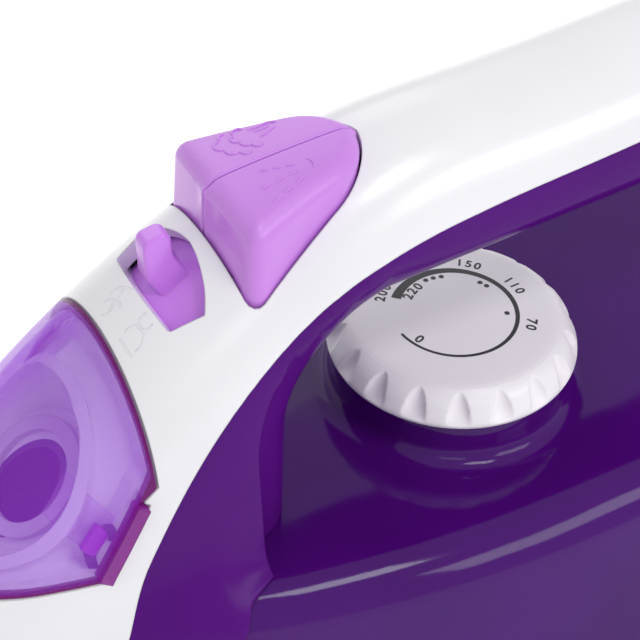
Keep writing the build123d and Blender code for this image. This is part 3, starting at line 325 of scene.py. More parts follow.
def dress(piece, body, nodes, material, crease=32.0):
    """Piece made smooth up to a crease angle, finished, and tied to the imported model."""
    piece.data.shade_smooth()
    piece.data.set_sharp_from_angle(angle=np.radians(crease))
    piece.data.materials.clear()
    piece.data.materials.append(material)
    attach(piece, body)
    if nodes:
        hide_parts(*nodes)


def second_finish(piece, material, chosen):
    """Another material on the faces that a test of their normals picks out."""
    piece.data.materials.append(material)
    normals = np.array([face.normal[:] for face in piece.data.polygons])
    piece.data.polygons.foreach_set("material_index", chosen(normals).astype(np.int32))


# ---- materials
def feed(tree, socket, value):
    """Socket given a value of its own, or linked to another socket."""
    if hasattr(value, "is_output"):
        tree.links.new(value, socket)
    else:
        socket.default_value = value


def shader_node(tree, kind, inputs, **settings):
    """New shader node with its settings, and with its inputs fed by name or number."""
    node = tree.nodes.new("ShaderNode" + kind)
    for name, value in settings.items():
        setattr(node, name, value)
    for name, value in inputs.items():
        feed(tree, node.inputs[name], value)
    return node


def shader_group(name, inputs, outputs):
    """Empty node group with named inputs (name, default) and outputs (name, socket type)."""
    group = bpy.data.node_groups.new(name, "ShaderNodeTree")
    for label, default in inputs:
        kind = "NodeSocketColor" if isinstance(default, tuple) else "NodeSocketFloat"
        socket = group.interface.new_socket(name=label, in_out="INPUT", socket_type=kind)
        socket.default_value = default
    for label, kind in outputs:
        group.interface.new_socket(name=label, in_out="OUTPUT", socket_type=kind)
    return group, group.nodes.new("NodeGroupInput"), group.nodes.new("NodeGroupOutput")


def noise(tree, where, scale, detail=2.0, roughness=0.5):
    """Noise value over a vector."""
    inputs = {"Vector": where, "Scale": scale, "Detail": detail, "Roughness": roughness}
    return shader_node(tree, "TexNoise", inputs).outputs["Fac"]


def spread(tree, value, low, high, first, last):
    """Value moved from one range to another, and kept in it."""
    inputs = {"Value": value, "From Min": low, "From Max": high, "To Min": first, "To Max": last}
    return shader_node(tree, "MapRange", inputs).outputs["Result"]


def sums(tree, operation, *values):
    """Math on values or sockets."""
    return shader_node(tree, "Math", dict(enumerate(values)), operation=operation).outputs["Value"]


def mixed(tree, share, first, last):
    """Colour between two."""
    return shader_node(tree, "Mix", {0: share, 6: first, 7: last}, data_type="RGBA").outputs[2]


def bump(tree, distance, height, strength, normal):
    """Normal tilted by a height."""
    inputs = {"Distance": distance, "Height": height, "Strength": strength, "Normal": normal}
    return shader_node(tree, "Bump", inputs).outputs["Normal"]


def build_moulding():
    """Moulded plastic: faint cloudiness in colour, handling marks in roughness, soft edges, and
    slow waves and a fine spark-eroded grain in the normal."""
    group, start, end = shader_group(
        "moulded_plastic",
        [("Colour", (0.8, 0.8, 0.8, 1.0)), ("Shade", (0.7, 0.7, 0.7, 1.0)), ("Roughness", 0.3),
         ("Wear", 0.05), ("Grain", 0.1), ("Grain Size", 1.0), ("Edge", 0.0004), ("Waves", 0.0)],
        [("Colour", "NodeSocketColor"), ("Roughness", "NodeSocketFloat"), ("Normal", "NodeSocketVector")])
    given = start.outputs
    place = shader_node(group, "TexCoord", {}).outputs["Object"]
    clouds = spread(group, noise(group, place, 22.0), 0.35, 0.7, 0.0, 1.0)
    smears = spread(group, noise(group, place, 60.0, 3.0, 0.6), 0.3, 0.8, -0.5, 0.5)
    worn = sums(group, "MULTIPLY", smears, given["Wear"])
    soft = shader_node(group, "Bevel", {"Radius": given["Edge"]}, samples=4)
    waves = noise(group, place, 55.0, 1.5, 0.4)
    waved = bump(group, 0.0004, waves, given["Waves"], soft.outputs["Normal"])
    sized = shader_node(group, "VectorMath", {0: place, "Scale": given["Grain Size"]}, operation="SCALE")
    grain = noise(group, sized.outputs[0], 2600.0, 1.0)
    for label, value in (("Colour", mixed(group, clouds, given["Colour"], given["Shade"])),
                         ("Roughness", sums(group, "ADD", worn, given["Roughness"])),
                         ("Normal", bump(group, 0.00004, grain, given["Grain"], waved))):
        feed(group, end.inputs[label], value)
    return group


MOULDED = build_moulding()


def linear(red, green, blue):
    """Colour as light from its 0 to 255 display values."""
    value = np.array([red, green, blue]) / 255.0
    light = np.where(value <= 0.04045, value / 12.92, ((value + 0.055) / 1.055) ** 2.4)
    return (*light.tolist(), 1.0)


def plastic(name, colour, shade, roughness, wear=0.06, grain=0.1, grain_size=1.0, coat=0.0,
            alpha=1.0, metallic=0.0, specular=0.5, edge=0.0004, waves=0.0):
    """Moulded plastic or plain metal in one colour, with a shade that clouds it. Below an alpha
    of 1 it is clear, and less so where the surface turns away."""
    material = bpy.data.materials.new(name)
    material.use_nodes = True
    tree = material.node_tree
    shader = tree.nodes["Principled BSDF"]
    look = shader_node(tree, "Group", {}, node_tree=MOULDED)
    for label, value in (("Colour", linear(*colour)), ("Shade", linear(*shade)),
                         ("Roughness", roughness), ("Wear", wear), ("Grain", grain),
                         ("Grain Size", grain_size), ("Edge", edge), ("Waves", waves)):
        look.inputs[label].default_value = value
    for label, output in (("Base Color", "Colour"), ("Roughness", "Roughness"), ("Normal", "Normal")):
        tree.links.new(look.outputs[output], shader.inputs[label])
    for label, value in (("Coat Weight", coat), ("Coat Roughness", 0.03), ("Metallic", metallic),
                         ("Specular IOR Level", specular)):
        shader.inputs[label].default_value = value
    if alpha < 1.0:
        facing = shader_node(tree, "LayerWeight", {"Blend": 0.5}).outputs["Facing"]
        turned_away = spread(tree, facing, 0.3, 0.95, alpha, min(alpha + 0.5, 1.0))
        tree.links.new(turned_away, shader.inputs["Alpha"])
    return material


WHITE = plastic("white_shell", (236, 235, 240), (230, 229, 234), 0.24, grain=0.12)
FAIRING = plastic("plum_satin", (84, 14, 122), (74, 12, 108), 0.26, grain=0.3, specular=0.08)
TANK = plastic("plum_clear", (74, 10, 114), (64, 6, 100), 0.08, wear=0.05, grain=0.0, alpha=0.93,
               specular=0.18, waves=0.5)
# plum of the tank's neck, made darker than the tank as painted shade of the fill hole
NECK = plastic("plum_and_hole_shade", (48, 0, 84), (40, 0, 74), 0.12, wear=0.03, grain=0.05)
LID = plastic("lilac_clear", (184, 76, 246), (176, 66, 240), 0.06, wear=0.02, grain=0.0,
              alpha=0.27, specular=0.2, edge=0.0)
TAB = plastic("lilac_tab", (150, 20, 158), (136, 14, 144), 0.1, grain=0.0, alpha=0.78)
STRAP = plastic("lilac_strap", (220, 150, 250), (212, 140, 244), 0.1, grain=0.0, alpha=0.12)
LID_EDGE = plastic("lilac_edge", (116, 0, 92), (100, 0, 78), 0.12, grain=0.0)
CATCH = plastic("lilac_catch", (176, 40, 196), (166, 30, 186), 0.2, grain=0.05)
LILAC = plastic("lilac_satin", (202, 136, 228), (196, 128, 222), 0.36, grain=0.75, grain_size=0.55,
                edge=0.0)
# glossier sides of the buttons, also used on the ring: their colour is a little lighter than the tops' as
# painted light
LILAC_SIDE = plastic("lilac_gloss_painted_light", (206, 136, 232), (200, 128, 226), 0.24, edge=0.0)
LEVER = plastic("lilac_lever", (208, 132, 238), (200, 122, 232), 0.2)
DIAL = plastic("dial_grey", (240, 235, 241), (234, 228, 236), 0.36, grain=0.15)
SEAL = plastic("seal_pale", (214, 206, 222), (200, 192, 210), 0.5, grain=0.2)
PRINT = plastic("print_black", (40, 38, 45), (34, 32, 38), 0.5)
SKIRT = plastic("skirt_dark", (44, 26, 58), (36, 20, 50), 0.45, grain=0.6)
RUBBER = plastic("rubber_black", (40, 38, 42), (30, 29, 32), 0.7, grain=0.8)
INNER = plastic("inner_white", (225, 224, 226), (212, 211, 214), 0.45, grain=0.2)
STEEL = plastic("steel", (196, 196, 200), (180, 180, 184), 0.24, wear=0.12, grain=0.2, metallic=1.0)
CASTING = plastic("cast_aluminium", (176, 176, 178), (150, 150, 153), 0.5, wear=0.2, grain=1.0,
                  grain_size=0.3, metallic=1.0)
BRASS = plastic("brass", (200, 168, 98), (180, 146, 80), 0.3, wear=0.15, grain=0.2, metallic=1.0)
WIRE = plastic("wire_grey", (120, 118, 124), (104, 102, 108), 0.6, grain=0.3)
LENS = plastic("lens_amber", (226, 120, 40), (214, 104, 30), 0.12, grain=0.0, coat=0.5)


# ---- body of the iron
def body_block(name, inset):
    """Nose, cowl, tank, handle and heel as one smooth solid, its walls moved in by an inset.
    Its rings lie closer together towards both ends, as 0.45 (1 - cos a) / 2 + 0.55 a / pi."""
    first, last = NOSE_RING + inset, HEEL_X - 0.02 - inset
    ends = (1 - np.cos(np.linspace(0.0, np.pi, STATIONS))) / 2
    x = first + (last - first) * (0.45 * ends + 0.55 * np.linspace(0.0, 1.0, STATIONS))
    centre = np.interp(x, CENTRE[:, 0], CENTRE[:, 1])
    return ring_block(name, cast_rings(body_field, x, centre, inset))


def tank_block(name, inset):
    """The tank as a closed solid, its walls moved in by an inset."""
    x = np.linspace(TANK_RING + inset, BODY_REAR_X - 0.02 - inset, STATIONS)
    return ring_block(name, cast_rings(tank_field, x, np.full_like(x, TANK_CENTRE), inset))


def gap_block(name, margin):
    """The hole under the handle, made larger by a margin. Its edges flare outwards by
    r - sqrt(r^2 - (|y| - w + r)^2), w the half width there, so handle and columns are rounded."""
    ceiling_front, ceiling_rear = 110.2, 117.8
    bend_front, bend_rear = 18.0, 16.0
    edge, rear_column = 10.0, 60.0
    slope = (ceiling_rear - ceiling_front) / (GAP_REAR - GAP_FRONT)
    way = circle(np.linspace(0.0, np.pi / 2, 24)) * (-1.0, 1.0)
    way_back = way[::-1] * (-1.0, 1.0)
    front = np.array([GAP_FRONT + bend_front, ceiling_front - bend_front]) + bend_front * way
    front[:, 1] += slope * (front[:, 0] - GAP_FRONT)
    rear = np.array([GAP_REAR - bend_rear, ceiling_rear - bend_rear]) + bend_rear * way_back
    rear[:, 1] += slope * (rear[:, 0] - GAP_REAR)
    foot = TANK_TOP - 1.0 - 9.0 * margin
    line = np.vstack([[(GAP_FRONT, foot)], front, rear, [(GAP_REAR, foot)]])
    out = np.vstack([[(-1.0, 0.0)], way, way_back, [(1.0, 0.0)]])
    x, z = line.T
    width = np.interp(x, (GAP_FRONT, GAP_FRONT + 22.0), (20.0, HANDLE_HALF))
    column = np.interp(z, (TANK_TOP, 104.0, 116.0), (38.0, 19.5, HANDLE_HALF))
    width = np.where(x > rear_column, np.maximum(width, column), width) - margin
    fade = np.where(x > rear_column, np.clip((z - TANK_TOP) / 30.0, 0.0, 1.0), 1.0)
    radius = np.maximum(edge * fade - margin, 0.3)
    rings = []
    for y in np.r_[-90.0, np.linspace(-40.0, -4.0, 50), np.linspace(4.0, 40.0, 50), 90.0]:
        past = np.clip(abs(y) - width + radius, 0.0, radius)
        grown = line + out * (margin + radius - arch(radius, past))[:, None]
        rings.append(np.insert(grown, 1, y, axis=1))
    return ring_block(name, np.array(rings))


SEAM_TOP, SEAM_FOOT = -58.0, -82.0
COLUMN_REAR = -39.5
HEEL_SEAM, HEEL_TOP = BODY_REAR_X - 0.5, TANK_TOP + 1.0
low_body = side_block("low_body", [
    (-FAR, BELOW), (BODY_REAR_X, BELOW), (BODY_REAR_X, TANK_TOP + 0.01),
    (COLUMN_REAR, TANK_TOP + 0.01), (COLUMN_REAR, SKIRT_TOP), (-FAR, SKIRT_TOP)])
behind_seam = side_block("behind_seam", [
    (SEAM_FOOT, SKIRT_TOP - 1.0), (COLUMN_REAR + 0.5, SKIRT_TOP - 1.0), (COLUMN_REAR + 0.5, 90.0),
    (SEAM_TOP + 10.0, 90.0), (SEAM_TOP, TANK_TOP)])
under_column = cut(tank_block("under_column", -0.25), behind_seam, operation="INTERSECT")
cavity = cut(body_block("cavity", WALL), gap_block("gap", WALL))
casing = body_block("casing", 0.0)
for tool in (gap_block("gap", 0.0), low_body, under_column, cavity):
    cut(casing, tool)

# everything above the edge of the white shell
split_foot = SPLIT[0] - (4.3, 8.0)
split = side_block("split", np.vstack([
    [(-FAR, split_foot[1]), split_foot], curve_through(SPLIT, 160),
    [(FAR, SPLIT[-1, 1]), (FAR, FAR), (-FAR, FAR)]]))
cover_zone = side_block("cover_zone", [(COVER_X, BELOW), (FAR, BELOW), (FAR, FAR), (COVER_X, FAR)])
heel_zone = side_block("heel_zone", [
    (HEEL_SEAM, BELOW), (FAR, BELOW), (FAR, HEEL_TOP), (HEEL_SEAM, HEEL_TOP)])
shell = part_of(casing, split, "white_shell")
cut(casing, split)
cover = part_of(casing, cover_zone, "heel_cover")
cut(casing, cover_zone)
housing = part_of(casing, heel_zone, "heel_block")
fairing = cut(casing, heel_zone)
fairing.name = "plum_fairing"

# ---- openings in the white shell
LID_NOTCH, LID_CORNER = np.array([-81.5, LID_BASE]), np.array([-72.9, 93.3])
DIAGONAL_OUT = np.array([0.867, 0.0, -0.497])
LEVER_AXIS = np.array([-46.98, 0.0, 103.33])
LEVER_ALONG, LEVER_OUT = np.array([0.829, 0.0, 0.559]), np.array([-0.559, 0.0, 0.829])
REARWARD, ACROSS, UP = np.eye(3)
LEVER_DEPTH = 21.5
BAND_FRONT, BAND_REAR = -6.2, 5.3
BAND_OUTER, BAND_INNER = 18.0, 15.8
BAND_ARC, ROOM_ARC = 47.0, 66.5
NOZZLE_AT, NOZZLE_OUT = np.array([-126.5, 0.0, 63.0]), np.array([-0.866, 0.0, 0.5])
NOZZLE_BORE, NOZZLE_SEAT = 5.9, 7.45
GLAND_AT, GLAND_OUT = np.array([117.606, 0.0, 117.415]), np.array([0.766, 0.0, 0.643])
GLAND_BALL = 8.4
SCREW_Y, SCREW_Z, SCREW_RADIUS = 30.0, 23.0, 3.4
BUTTON_FRONT, BUTTON_TIP, BUTTON_HALF = -51.8, -24.2, 15.3
BUTTON_FLOOR = 119.5
BUTTON_GAP = 0.25


def prism(name, outline, origin, first, second, low, high):
    """Solid between two levels over an outline in two directions."""
    out = np.cross(first, second)
    flat = origin + outline[:, :1] * first + outline[:, 1:] * second
    return ring_block(name, np.stack([flat + low * out, flat + high * out]))


def rounded(half_a, half_b, radius, steps=8):
    """Rectangle with round corners: a small circle moved out to the four corners."""
    turn = circle((np.arange(4 * steps) + 0.5) * np.pi / (2 * steps))
    return np.sign(turn) * (np.array([half_a, half_b]) - radius) + radius * turn


def turned(name, profile, origin, out, columns=96):
    """Solid of revolution: a closed profile of radius and height, turned round an axis."""
    profile = np.asarray(profile, float)
    angle = full_turn(columns)
    other = np.cross(out, ACROSS)
    ring = np.cos(angle)[:, None] * ACROSS + np.sin(angle)[:, None] * other
    points = origin + profile[:, :1, None] * ring + profile[:, 1:, None] * out
    points = np.concatenate([points, points[:1]])
    return mesh_object(name, points, quads(*points.shape[:2], ring=True).tolist())


def tangent_arc(start, way, end, steps):
    """Arc that leaves a point in a direction and ends at a second point."""
    way = way / np.hypot(*way)
    across = np.array([-way[1], way[0]])
    run = end - start
    radius = run @ run / (2 * run @ across)
    centre = start + across * radius
    first, last = (np.arctan2(*(spot - centre)[::-1]) for spot in (start, end))
    swing = (last - first + np.pi) % (2 * np.pi) - np.pi
    return centre + abs(radius) * circle(first + swing * np.linspace(0.0, 1.0, steps))


def softened(corner, before, after, radius, steps=5):
    """Arc that rounds a corner between two neighbours."""
    ways = [(spot - corner) / np.hypot(*(spot - corner)) for spot in (before, after)]
    half = np.arccos(np.clip(ways[0] @ ways[1], -1, 1)) / 2
    reach = radius / np.tan(half)
    return tangent_arc(corner + ways[0] * reach, -ways[0], corner + ways[1] * reach, steps)


def lid_zone(shrink):
    """Side view of the lid's region, drawn in by a margin."""
    return side_block("lid_zone", [
        (-FAR, LID_BASE + shrink), LID_NOTCH + (-1.3 * shrink, shrink),
        LID_CORNER - DIAGONAL_OUT[[0, 2]] * shrink, (LID_X - shrink, 95.3), (LID_X - shrink, FAR),
        (-FAR, FAR)])


def tab_zone(grow):
    """Region of the lid's finger tab, on the left side only."""
    along = (LID_CORNER - LID_NOTCH) / np.hypot(*(LID_CORNER - LID_NOTCH))
    across = np.array([along[1], -along[0]])
    low, high = LID_NOTCH + along * (1.0 - grow), LID_CORNER - along * (0.8 - grow)
    under, over = -across * 1.5, across * (0.7 + grow)
    return side_block("tab_zone", [low + under, high + under, high + over, low + over], right=0.0)


def button_side(corner_radius):
    """Outline of the left half of the button pair, from the middle of its front to its tip."""
    bow = np.linspace(0.0, 1.0, 13)
    front = np.stack([BUTTON_FRONT + 1.2 * bow**2, BUTTON_HALF * bow], axis=1)
    shoulder, tip = np.array([BUTTON_FRONT + 19.1, 9.8]), np.array([BUTTON_TIP, 0.0])
    corner = softened(front[-1], front[-3], shoulder, corner_radius)
    arc = tangent_arc(shoulder, shoulder - front[-1], tip, 14)
    straight = np.linspace(corner[-1], shoulder, 8)[1:-1]
    return np.vstack([front[:-3], corner, straight, arc]) * (1.0, -1.0)


def inward(outline):
    """Unit vectors into a closed outline that runs anticlockwise, one at each point."""
    return left_of(np.roll(outline, -1, axis=0) - np.roll(outline, 1, axis=0))


def button_hole():
    """Shaft that the buttons stand in."""
    side = button_side(1.9)
    whole = np.vstack([side, side[-2:0:-1] * (1.0, -1.0)])
    return prism("button_hole", whole - BUTTON_GAP * inward(whole), np.zeros(3), REARWARD, ACROSS,
                 111.0, 175.0)


def slot_outline():
    """Slot of the lever: straight in front, bowed behind, with slanting ends; along and across."""
    side = np.array([(5.8, 0.0), (5.4, 2.6), (4.4, 5.6), (2.8, 8.6), (0.3, 11.4)])
    bowed = curve_through(side, 14)
    end = softened(np.array([-5.8, 9.8]), side[-1], np.array([-5.2, 0.0]), 0.7)
    half = np.vstack([bowed[1:-1], softened(side[-1], bowed[-2], end[0], 0.5), end])
    return np.vstack([[side[0]], half, half[::-1] * (1.0, -1.0)])


def lever_place(along, side, out, turn=0.0):
    """Points from places along the slope, across, and out from the lever's axis, turned about it."""
    turned_side = side * np.cos(turn) + out * np.sin(turn)
    turned_out = out * np.cos(turn) - side * np.sin(turn)
    return (LEVER_AXIS + along[..., None] * LEVER_ALONG + turned_side[..., None] * ACROSS
            + turned_out[..., None] * LEVER_OUT)


def band_rings(half_turn, steps, spare=0.0, under=0.0, turn=0.0):
    """Rings of the lever's curved band, or of the room for it: a flat section, with a spare on
    three sides and some more under it, carried round the lever's axis."""
    angle = np.radians(np.linspace(-half_turn, half_turn, steps))[:, None]
    along = np.array([BAND_FRONT - spare, BAND_REAR + spare, BAND_REAR + spare, BAND_FRONT - spare])
    out = np.array([BAND_OUTER + spare] * 2 + [BAND_INNER - under] * 2)
    return lever_place(along + 0 * angle, out * np.sin(angle), out * np.cos(angle), turn)


def band_room(spare, lift=0.0):
    """Room for the lever's band over its whole swing, raised by a lift."""
    return ring_block("band_room", band_rings(ROOM_ARC, 68, spare, 1.4) + lift * UP)


room = band_room(0.25)
cut(shell, room, keep=True)
cut(fairing, room)
half_ring = circle(np.linspace(-np.pi / 2, np.pi / 2, 25))
for tool in (
        lid_zone(0.0), tab_zone(0.4), button_hole(),
        prism("lever_slot", slot_outline(), LEVER_AXIS, LEVER_ALONG, ACROSS, LEVER_DEPTH - 8.0,
              LEVER_DEPTH + 8.0),
        turned("nozzle_hole", [
            (0.0, -12.0), (NOZZLE_BORE, -12.0), (NOZZLE_BORE, 0.4), (NOZZLE_SEAT, 0.4),
            (NOZZLE_SEAT, 30.0), (0.0, 30.0)], NOZZLE_AT, NOZZLE_OUT, 64),
        prism("gland_slot", rounded(12.2, 5.8, 5.0), GLAND_AT, np.cross(ACROSS, GLAND_OUT), -ACROSS,
              2.0, 40.0),
        turned("gland_ball", GLAND_BALL * half_ring, GLAND_AT, GLAND_OUT, 48)):
    cut(shell, tool)
for side in (-1, 1):
    recess = turned("screw_recess", [
        (0.0, -2.9), (SCREW_RADIUS, -2.9), (SCREW_RADIUS + 0.3, 0.5), (SCREW_RADIUS + 0.3, 5.0),
        (0.0, 5.0)], np.array([HEEL_X, side * SCREW_Y, SCREW_Z]), REARWARD, 48)
    cut(cover, recess)
dress(shell, "body", ["upper_shell"], WHITE)
dress(fairing, "body", ["handle_fairing"], FAIRING)
dress(housing, "body", ["heel_housing"], FAIRING)
dress(cover, "body", ["rear_cover"], FAIRING)

# ---- fill lid
LID_WALL = 1.2
RIM_COLOUR = (112, 4, 108)


def lid_rim(material, gap=0.4, width=0.6):
    """Dark band along the lid's rear, slanting and lower edges, found by distance from them."""
    tree = material.node_tree
    shader = tree.nodes["Principled BSDF"]
    place = shader_node(tree, "TexCoord", {}).outputs["Object"]
    band = 0.0
    for out, at in ((REARWARD, (LID_X, 0.0, 0.0)), (-UP, (0.0, 0.0, LID_BASE)),
                    (DIAGONAL_OUT, (LID_NOTCH[0], 0.0, LID_NOTCH[1]))):
        along = shader_node(tree, "VectorMath", {0: place, 1: out}, operation="DOT_PRODUCT")
        start = (float(np.dot(out, at)) - gap - width) * MM
        near = spread(tree, along.outputs["Value"], start - 0.1 * MM, start + 0.1 * MM, 0.0, 1.0)
        band = sums(tree, "MAXIMUM", band, near)
    colour, alpha = shader.inputs["Base Color"], shader.inputs["Alpha"]
    feed(tree, colour, mixed(tree, band, colour.links[0].from_socket, linear(*RIM_COLOUR)))
    solid = sums(tree, "MULTIPLY", band, 0.85)
    feed(tree, alpha, sums(tree, "MAXIMUM", alpha.links[0].from_socket, solid))


lid_rim(LID)

lid = body_block("lid_clear", 0.0)
cut(lid, lid_zone(0.4), operation="INTERSECT")
cut(lid, body_block("lid_hollow", LID_WALL))
tab = body_block("lid_tab", -1.2)
cut(tab, tab_zone(0.0), operation="INTERSECT")
cut(tab, body_block("tab_hollow", LID_WALL - 0.1))
dress(lid, "lid", ["fill_lid"], LID)
dress(tab, "lid", [], TAB)
for piece in (lid, tab):
    piece.visible_shadow = False
    second_finish(piece, LID_EDGE, lambda normals: (
        (normals[:, 0] > 0.97) | (normals @ DIAGONAL_OUT > 0.98) | (normals[:, 2] < -0.97)))


def under_lid(name, outer_inset, inner_inset, outline, material):
    """Plate under the left of the lid: what lies between two insets, in a side view outline."""
    plate = body_block(name, outer_inset)
    cut(plate, side_block("side", outline, -60.0, -3.0), operation="INTERSECT")
    cut(plate, body_block("under", inner_inset))
    dress(plate, "lid", [], material)


under_lid("lid_strap", 3.4, 4.0, [(-82.0, 95.3), (-76.4, 87.2), (-81.4, 81.7), (-87.1, 89.3)], STRAP)
under_lid("lid_catch", 2.4, 3.3, [(-80.3, 88.4), (-78.4, 86.2), (-81.7, 82.0), (-83.4, 84.2)], CATCH)
# dark plates in the skirt's material at the catch's two slots: painted shade that stands for the shaded
# openings
catch_slot_painted_shade = np.array([(-0.9, 1.5), (0.7, 1.1), (0.9, -1.5), (-0.7, -1.1)])
for place, spot in (("upper", (-78.2, 86.0)), ("lower", (-82.0, 81.1))):
    under_lid("catch_slot_painted_shade_" + place, 2.2, 3.5, catch_slot_painted_shade + spot, SKIRT)

# neck of the filling bowl: a cup whose rim follows the bowl's sloping floor. Its plum is the tank's
# plastic, darkened as painted shade of the hole, and its closed floor stands for the hole's shaded depth
NECK_X, NECK_RADIUS = -86.0, 7.0
BOWL_SLOPE = np.radians(38.5)
BOWL_DEPTH = 10.0
BOWL_X = LID_X - 19.8
FLOOR_X = BOWL_X + BOWL_DEPTH * np.sin(BOWL_SLOPE)
FLOOR_Z = crown_at(BOWL_X, 1) - 5.5 - BOWL_DEPTH * np.cos(BOWL_SLOPE)


def neck_ring(radius, above, level=None):
    """Ring round the neck, on the bowl's floor, z = z0 + (x - x0) tan(slope), or at a level."""
    x, y = NECK_X + radius * np.cos(full_turn(72)), radius * np.sin(full_turn(72))
    z = FLOOR_Z + (x - FLOOR_X) * np.tan(BOWL_SLOPE) + above
    return np.stack([x, y, z if level is None else np.full(72, level)], axis=1)


neck = ring_block("neck_cup", np.array([neck_ring(NECK_RADIUS + wider, *place) for wider, *place in (
    (-0.1, 0.0, 72.0), (-0.1, -0.05), (0.5, -0.05), (0.5, 0.25), (0.0, 0.4), (-0.6, 0.1),
    (-0.8, 0.0, 74.0))]))
dress(neck, "body", [], NECK)

# ---- water tank
SEAM_GAP = 0.15
TANK_WALL = 2.5


def tank_part(name, inset, start):
    """The tank behind the seam, down to the skirt."""
    past_seam = SEAM_TOP + start + 20.0 * (SEAM_TOP - SEAM_FOOT) / (TANK_TOP - SKIRT_TOP)
    keep = side_block("keep", [
        (SEAM_FOOT + start, SKIRT_TOP + inset), (BODY_REAR_X + 5.0, SKIRT_TOP + inset),
        (BODY_REAR_X + 5.0, 90.0), (past_seam, 90.0)])
    return cut(tank_block(name, inset), keep, operation="INTERSECT")


collar = turned("collar", [
    (19.4, 66.0), (26.6, 66.0), (26.6, 69.98), (25.2, 70.15), (24.0, 70.6), (23.1, 71.4),
    (22.6, 72.4), (22.35, 73.6), (22.2, 77.2), (21.9, 77.8), (21.3, 78.0), (19.9, 78.0),
    (19.5, 77.8), (19.4, 77.4)], np.zeros(3), UP, 160)
tank = tank_part("tank_clear", 0.0, SEAM_GAP)
cut(tank, tank_part("tank_room", TANK_WALL, 3.0))
cut(tank, collar, operation="UNION")
dress(tank, "body", ["water_tank"], TANK)

# ---- pump buttons
BUTTON_LEAN, BUTTON_RISE = 0.045, 14.0
BUTTON_SEAM = 0.12
TOP_FRONT, TOP_SLOPE, TOP_BOW = 135.0, 2.7, 1.6
TOP_CROWN, TOP_EDGE = 60.0, 3.2


def button_top(x, y):
    """Height of the buttons' top: a slope towards the front with a bow s (1 - s) on it, arched
    across."""
    share = (x - BUTTON_FRONT) / (BUTTON_TIP - BUTTON_FRONT)
    spine = TOP_FRONT + TOP_SLOPE * share + TOP_BOW * share * (1 - share)
    return spine - TOP_CROWN + arch(TOP_CROWN, y)


def edge_drop(distance, radius):
    """Fall r - sqrt(r^2 - (r - d)^2) of a rounded edge at a distance inside its wall."""
    return radius - arch(radius, np.clip(radius - distance, 0.0, radius))


def wall_distance(points, line):
    """Shortest distance from points to a polyline."""
    start, run = line[:-1], np.diff(line, axis=0)
    offset = points[:, None, :] - start
    share = np.clip((offset * run).sum(-1) / (run * run).sum(-1), 0.0, 1.0)
    return np.linalg.norm(offset - share[..., None] * run, axis=-1).min(axis=1)


def within(points, line):
    """Which points lie inside a closed plan line: a ray along x crosses it an odd number of times."""
    before, after = line, np.roll(line, -1, axis=0)
    x, y = points[:, :1], points[:, 1:]
    rise = np.where(after[:, 1] == before[:, 1], 1e-9, after[:, 1] - before[:, 1])
    over = before[:, 0] + (y - before[:, 1]) * (after[:, 0] - before[:, 0]) / rise
    crossed = ((before[:, 1] > y) != (after[:, 1] > y)) & (x < over)
    return crossed.sum(axis=1) % 2 == 1


def filled(line, pitch):
    """Inside of a closed plan line as triangles: a grid of points joined to the line."""
    low, high = line.min(axis=0) + pitch / 2, line.max(axis=0)
    grid = np.stack(np.meshgrid(np.arange(low[0], high[0], pitch), np.arange(low[1], high[1], pitch)),
                    axis=-1).reshape(-1, 2)
    clear = wall_distance(grid, np.vstack([line, line[:1]])) > pitch / 2
    points = np.vstack([line, grid[within(grid, line) & clear]])
    sides = [(k, (k + 1) % len(line)) for k in range(len(line))]
    result = delaunay_2d_cdt([Vector(point) for point in points.tolist()], sides, [], 0, 1e-6, False)
    cells = np.array([face[:] for face in result[2]])
    return points, cells[within(points[cells].mean(axis=1), line)].tolist()


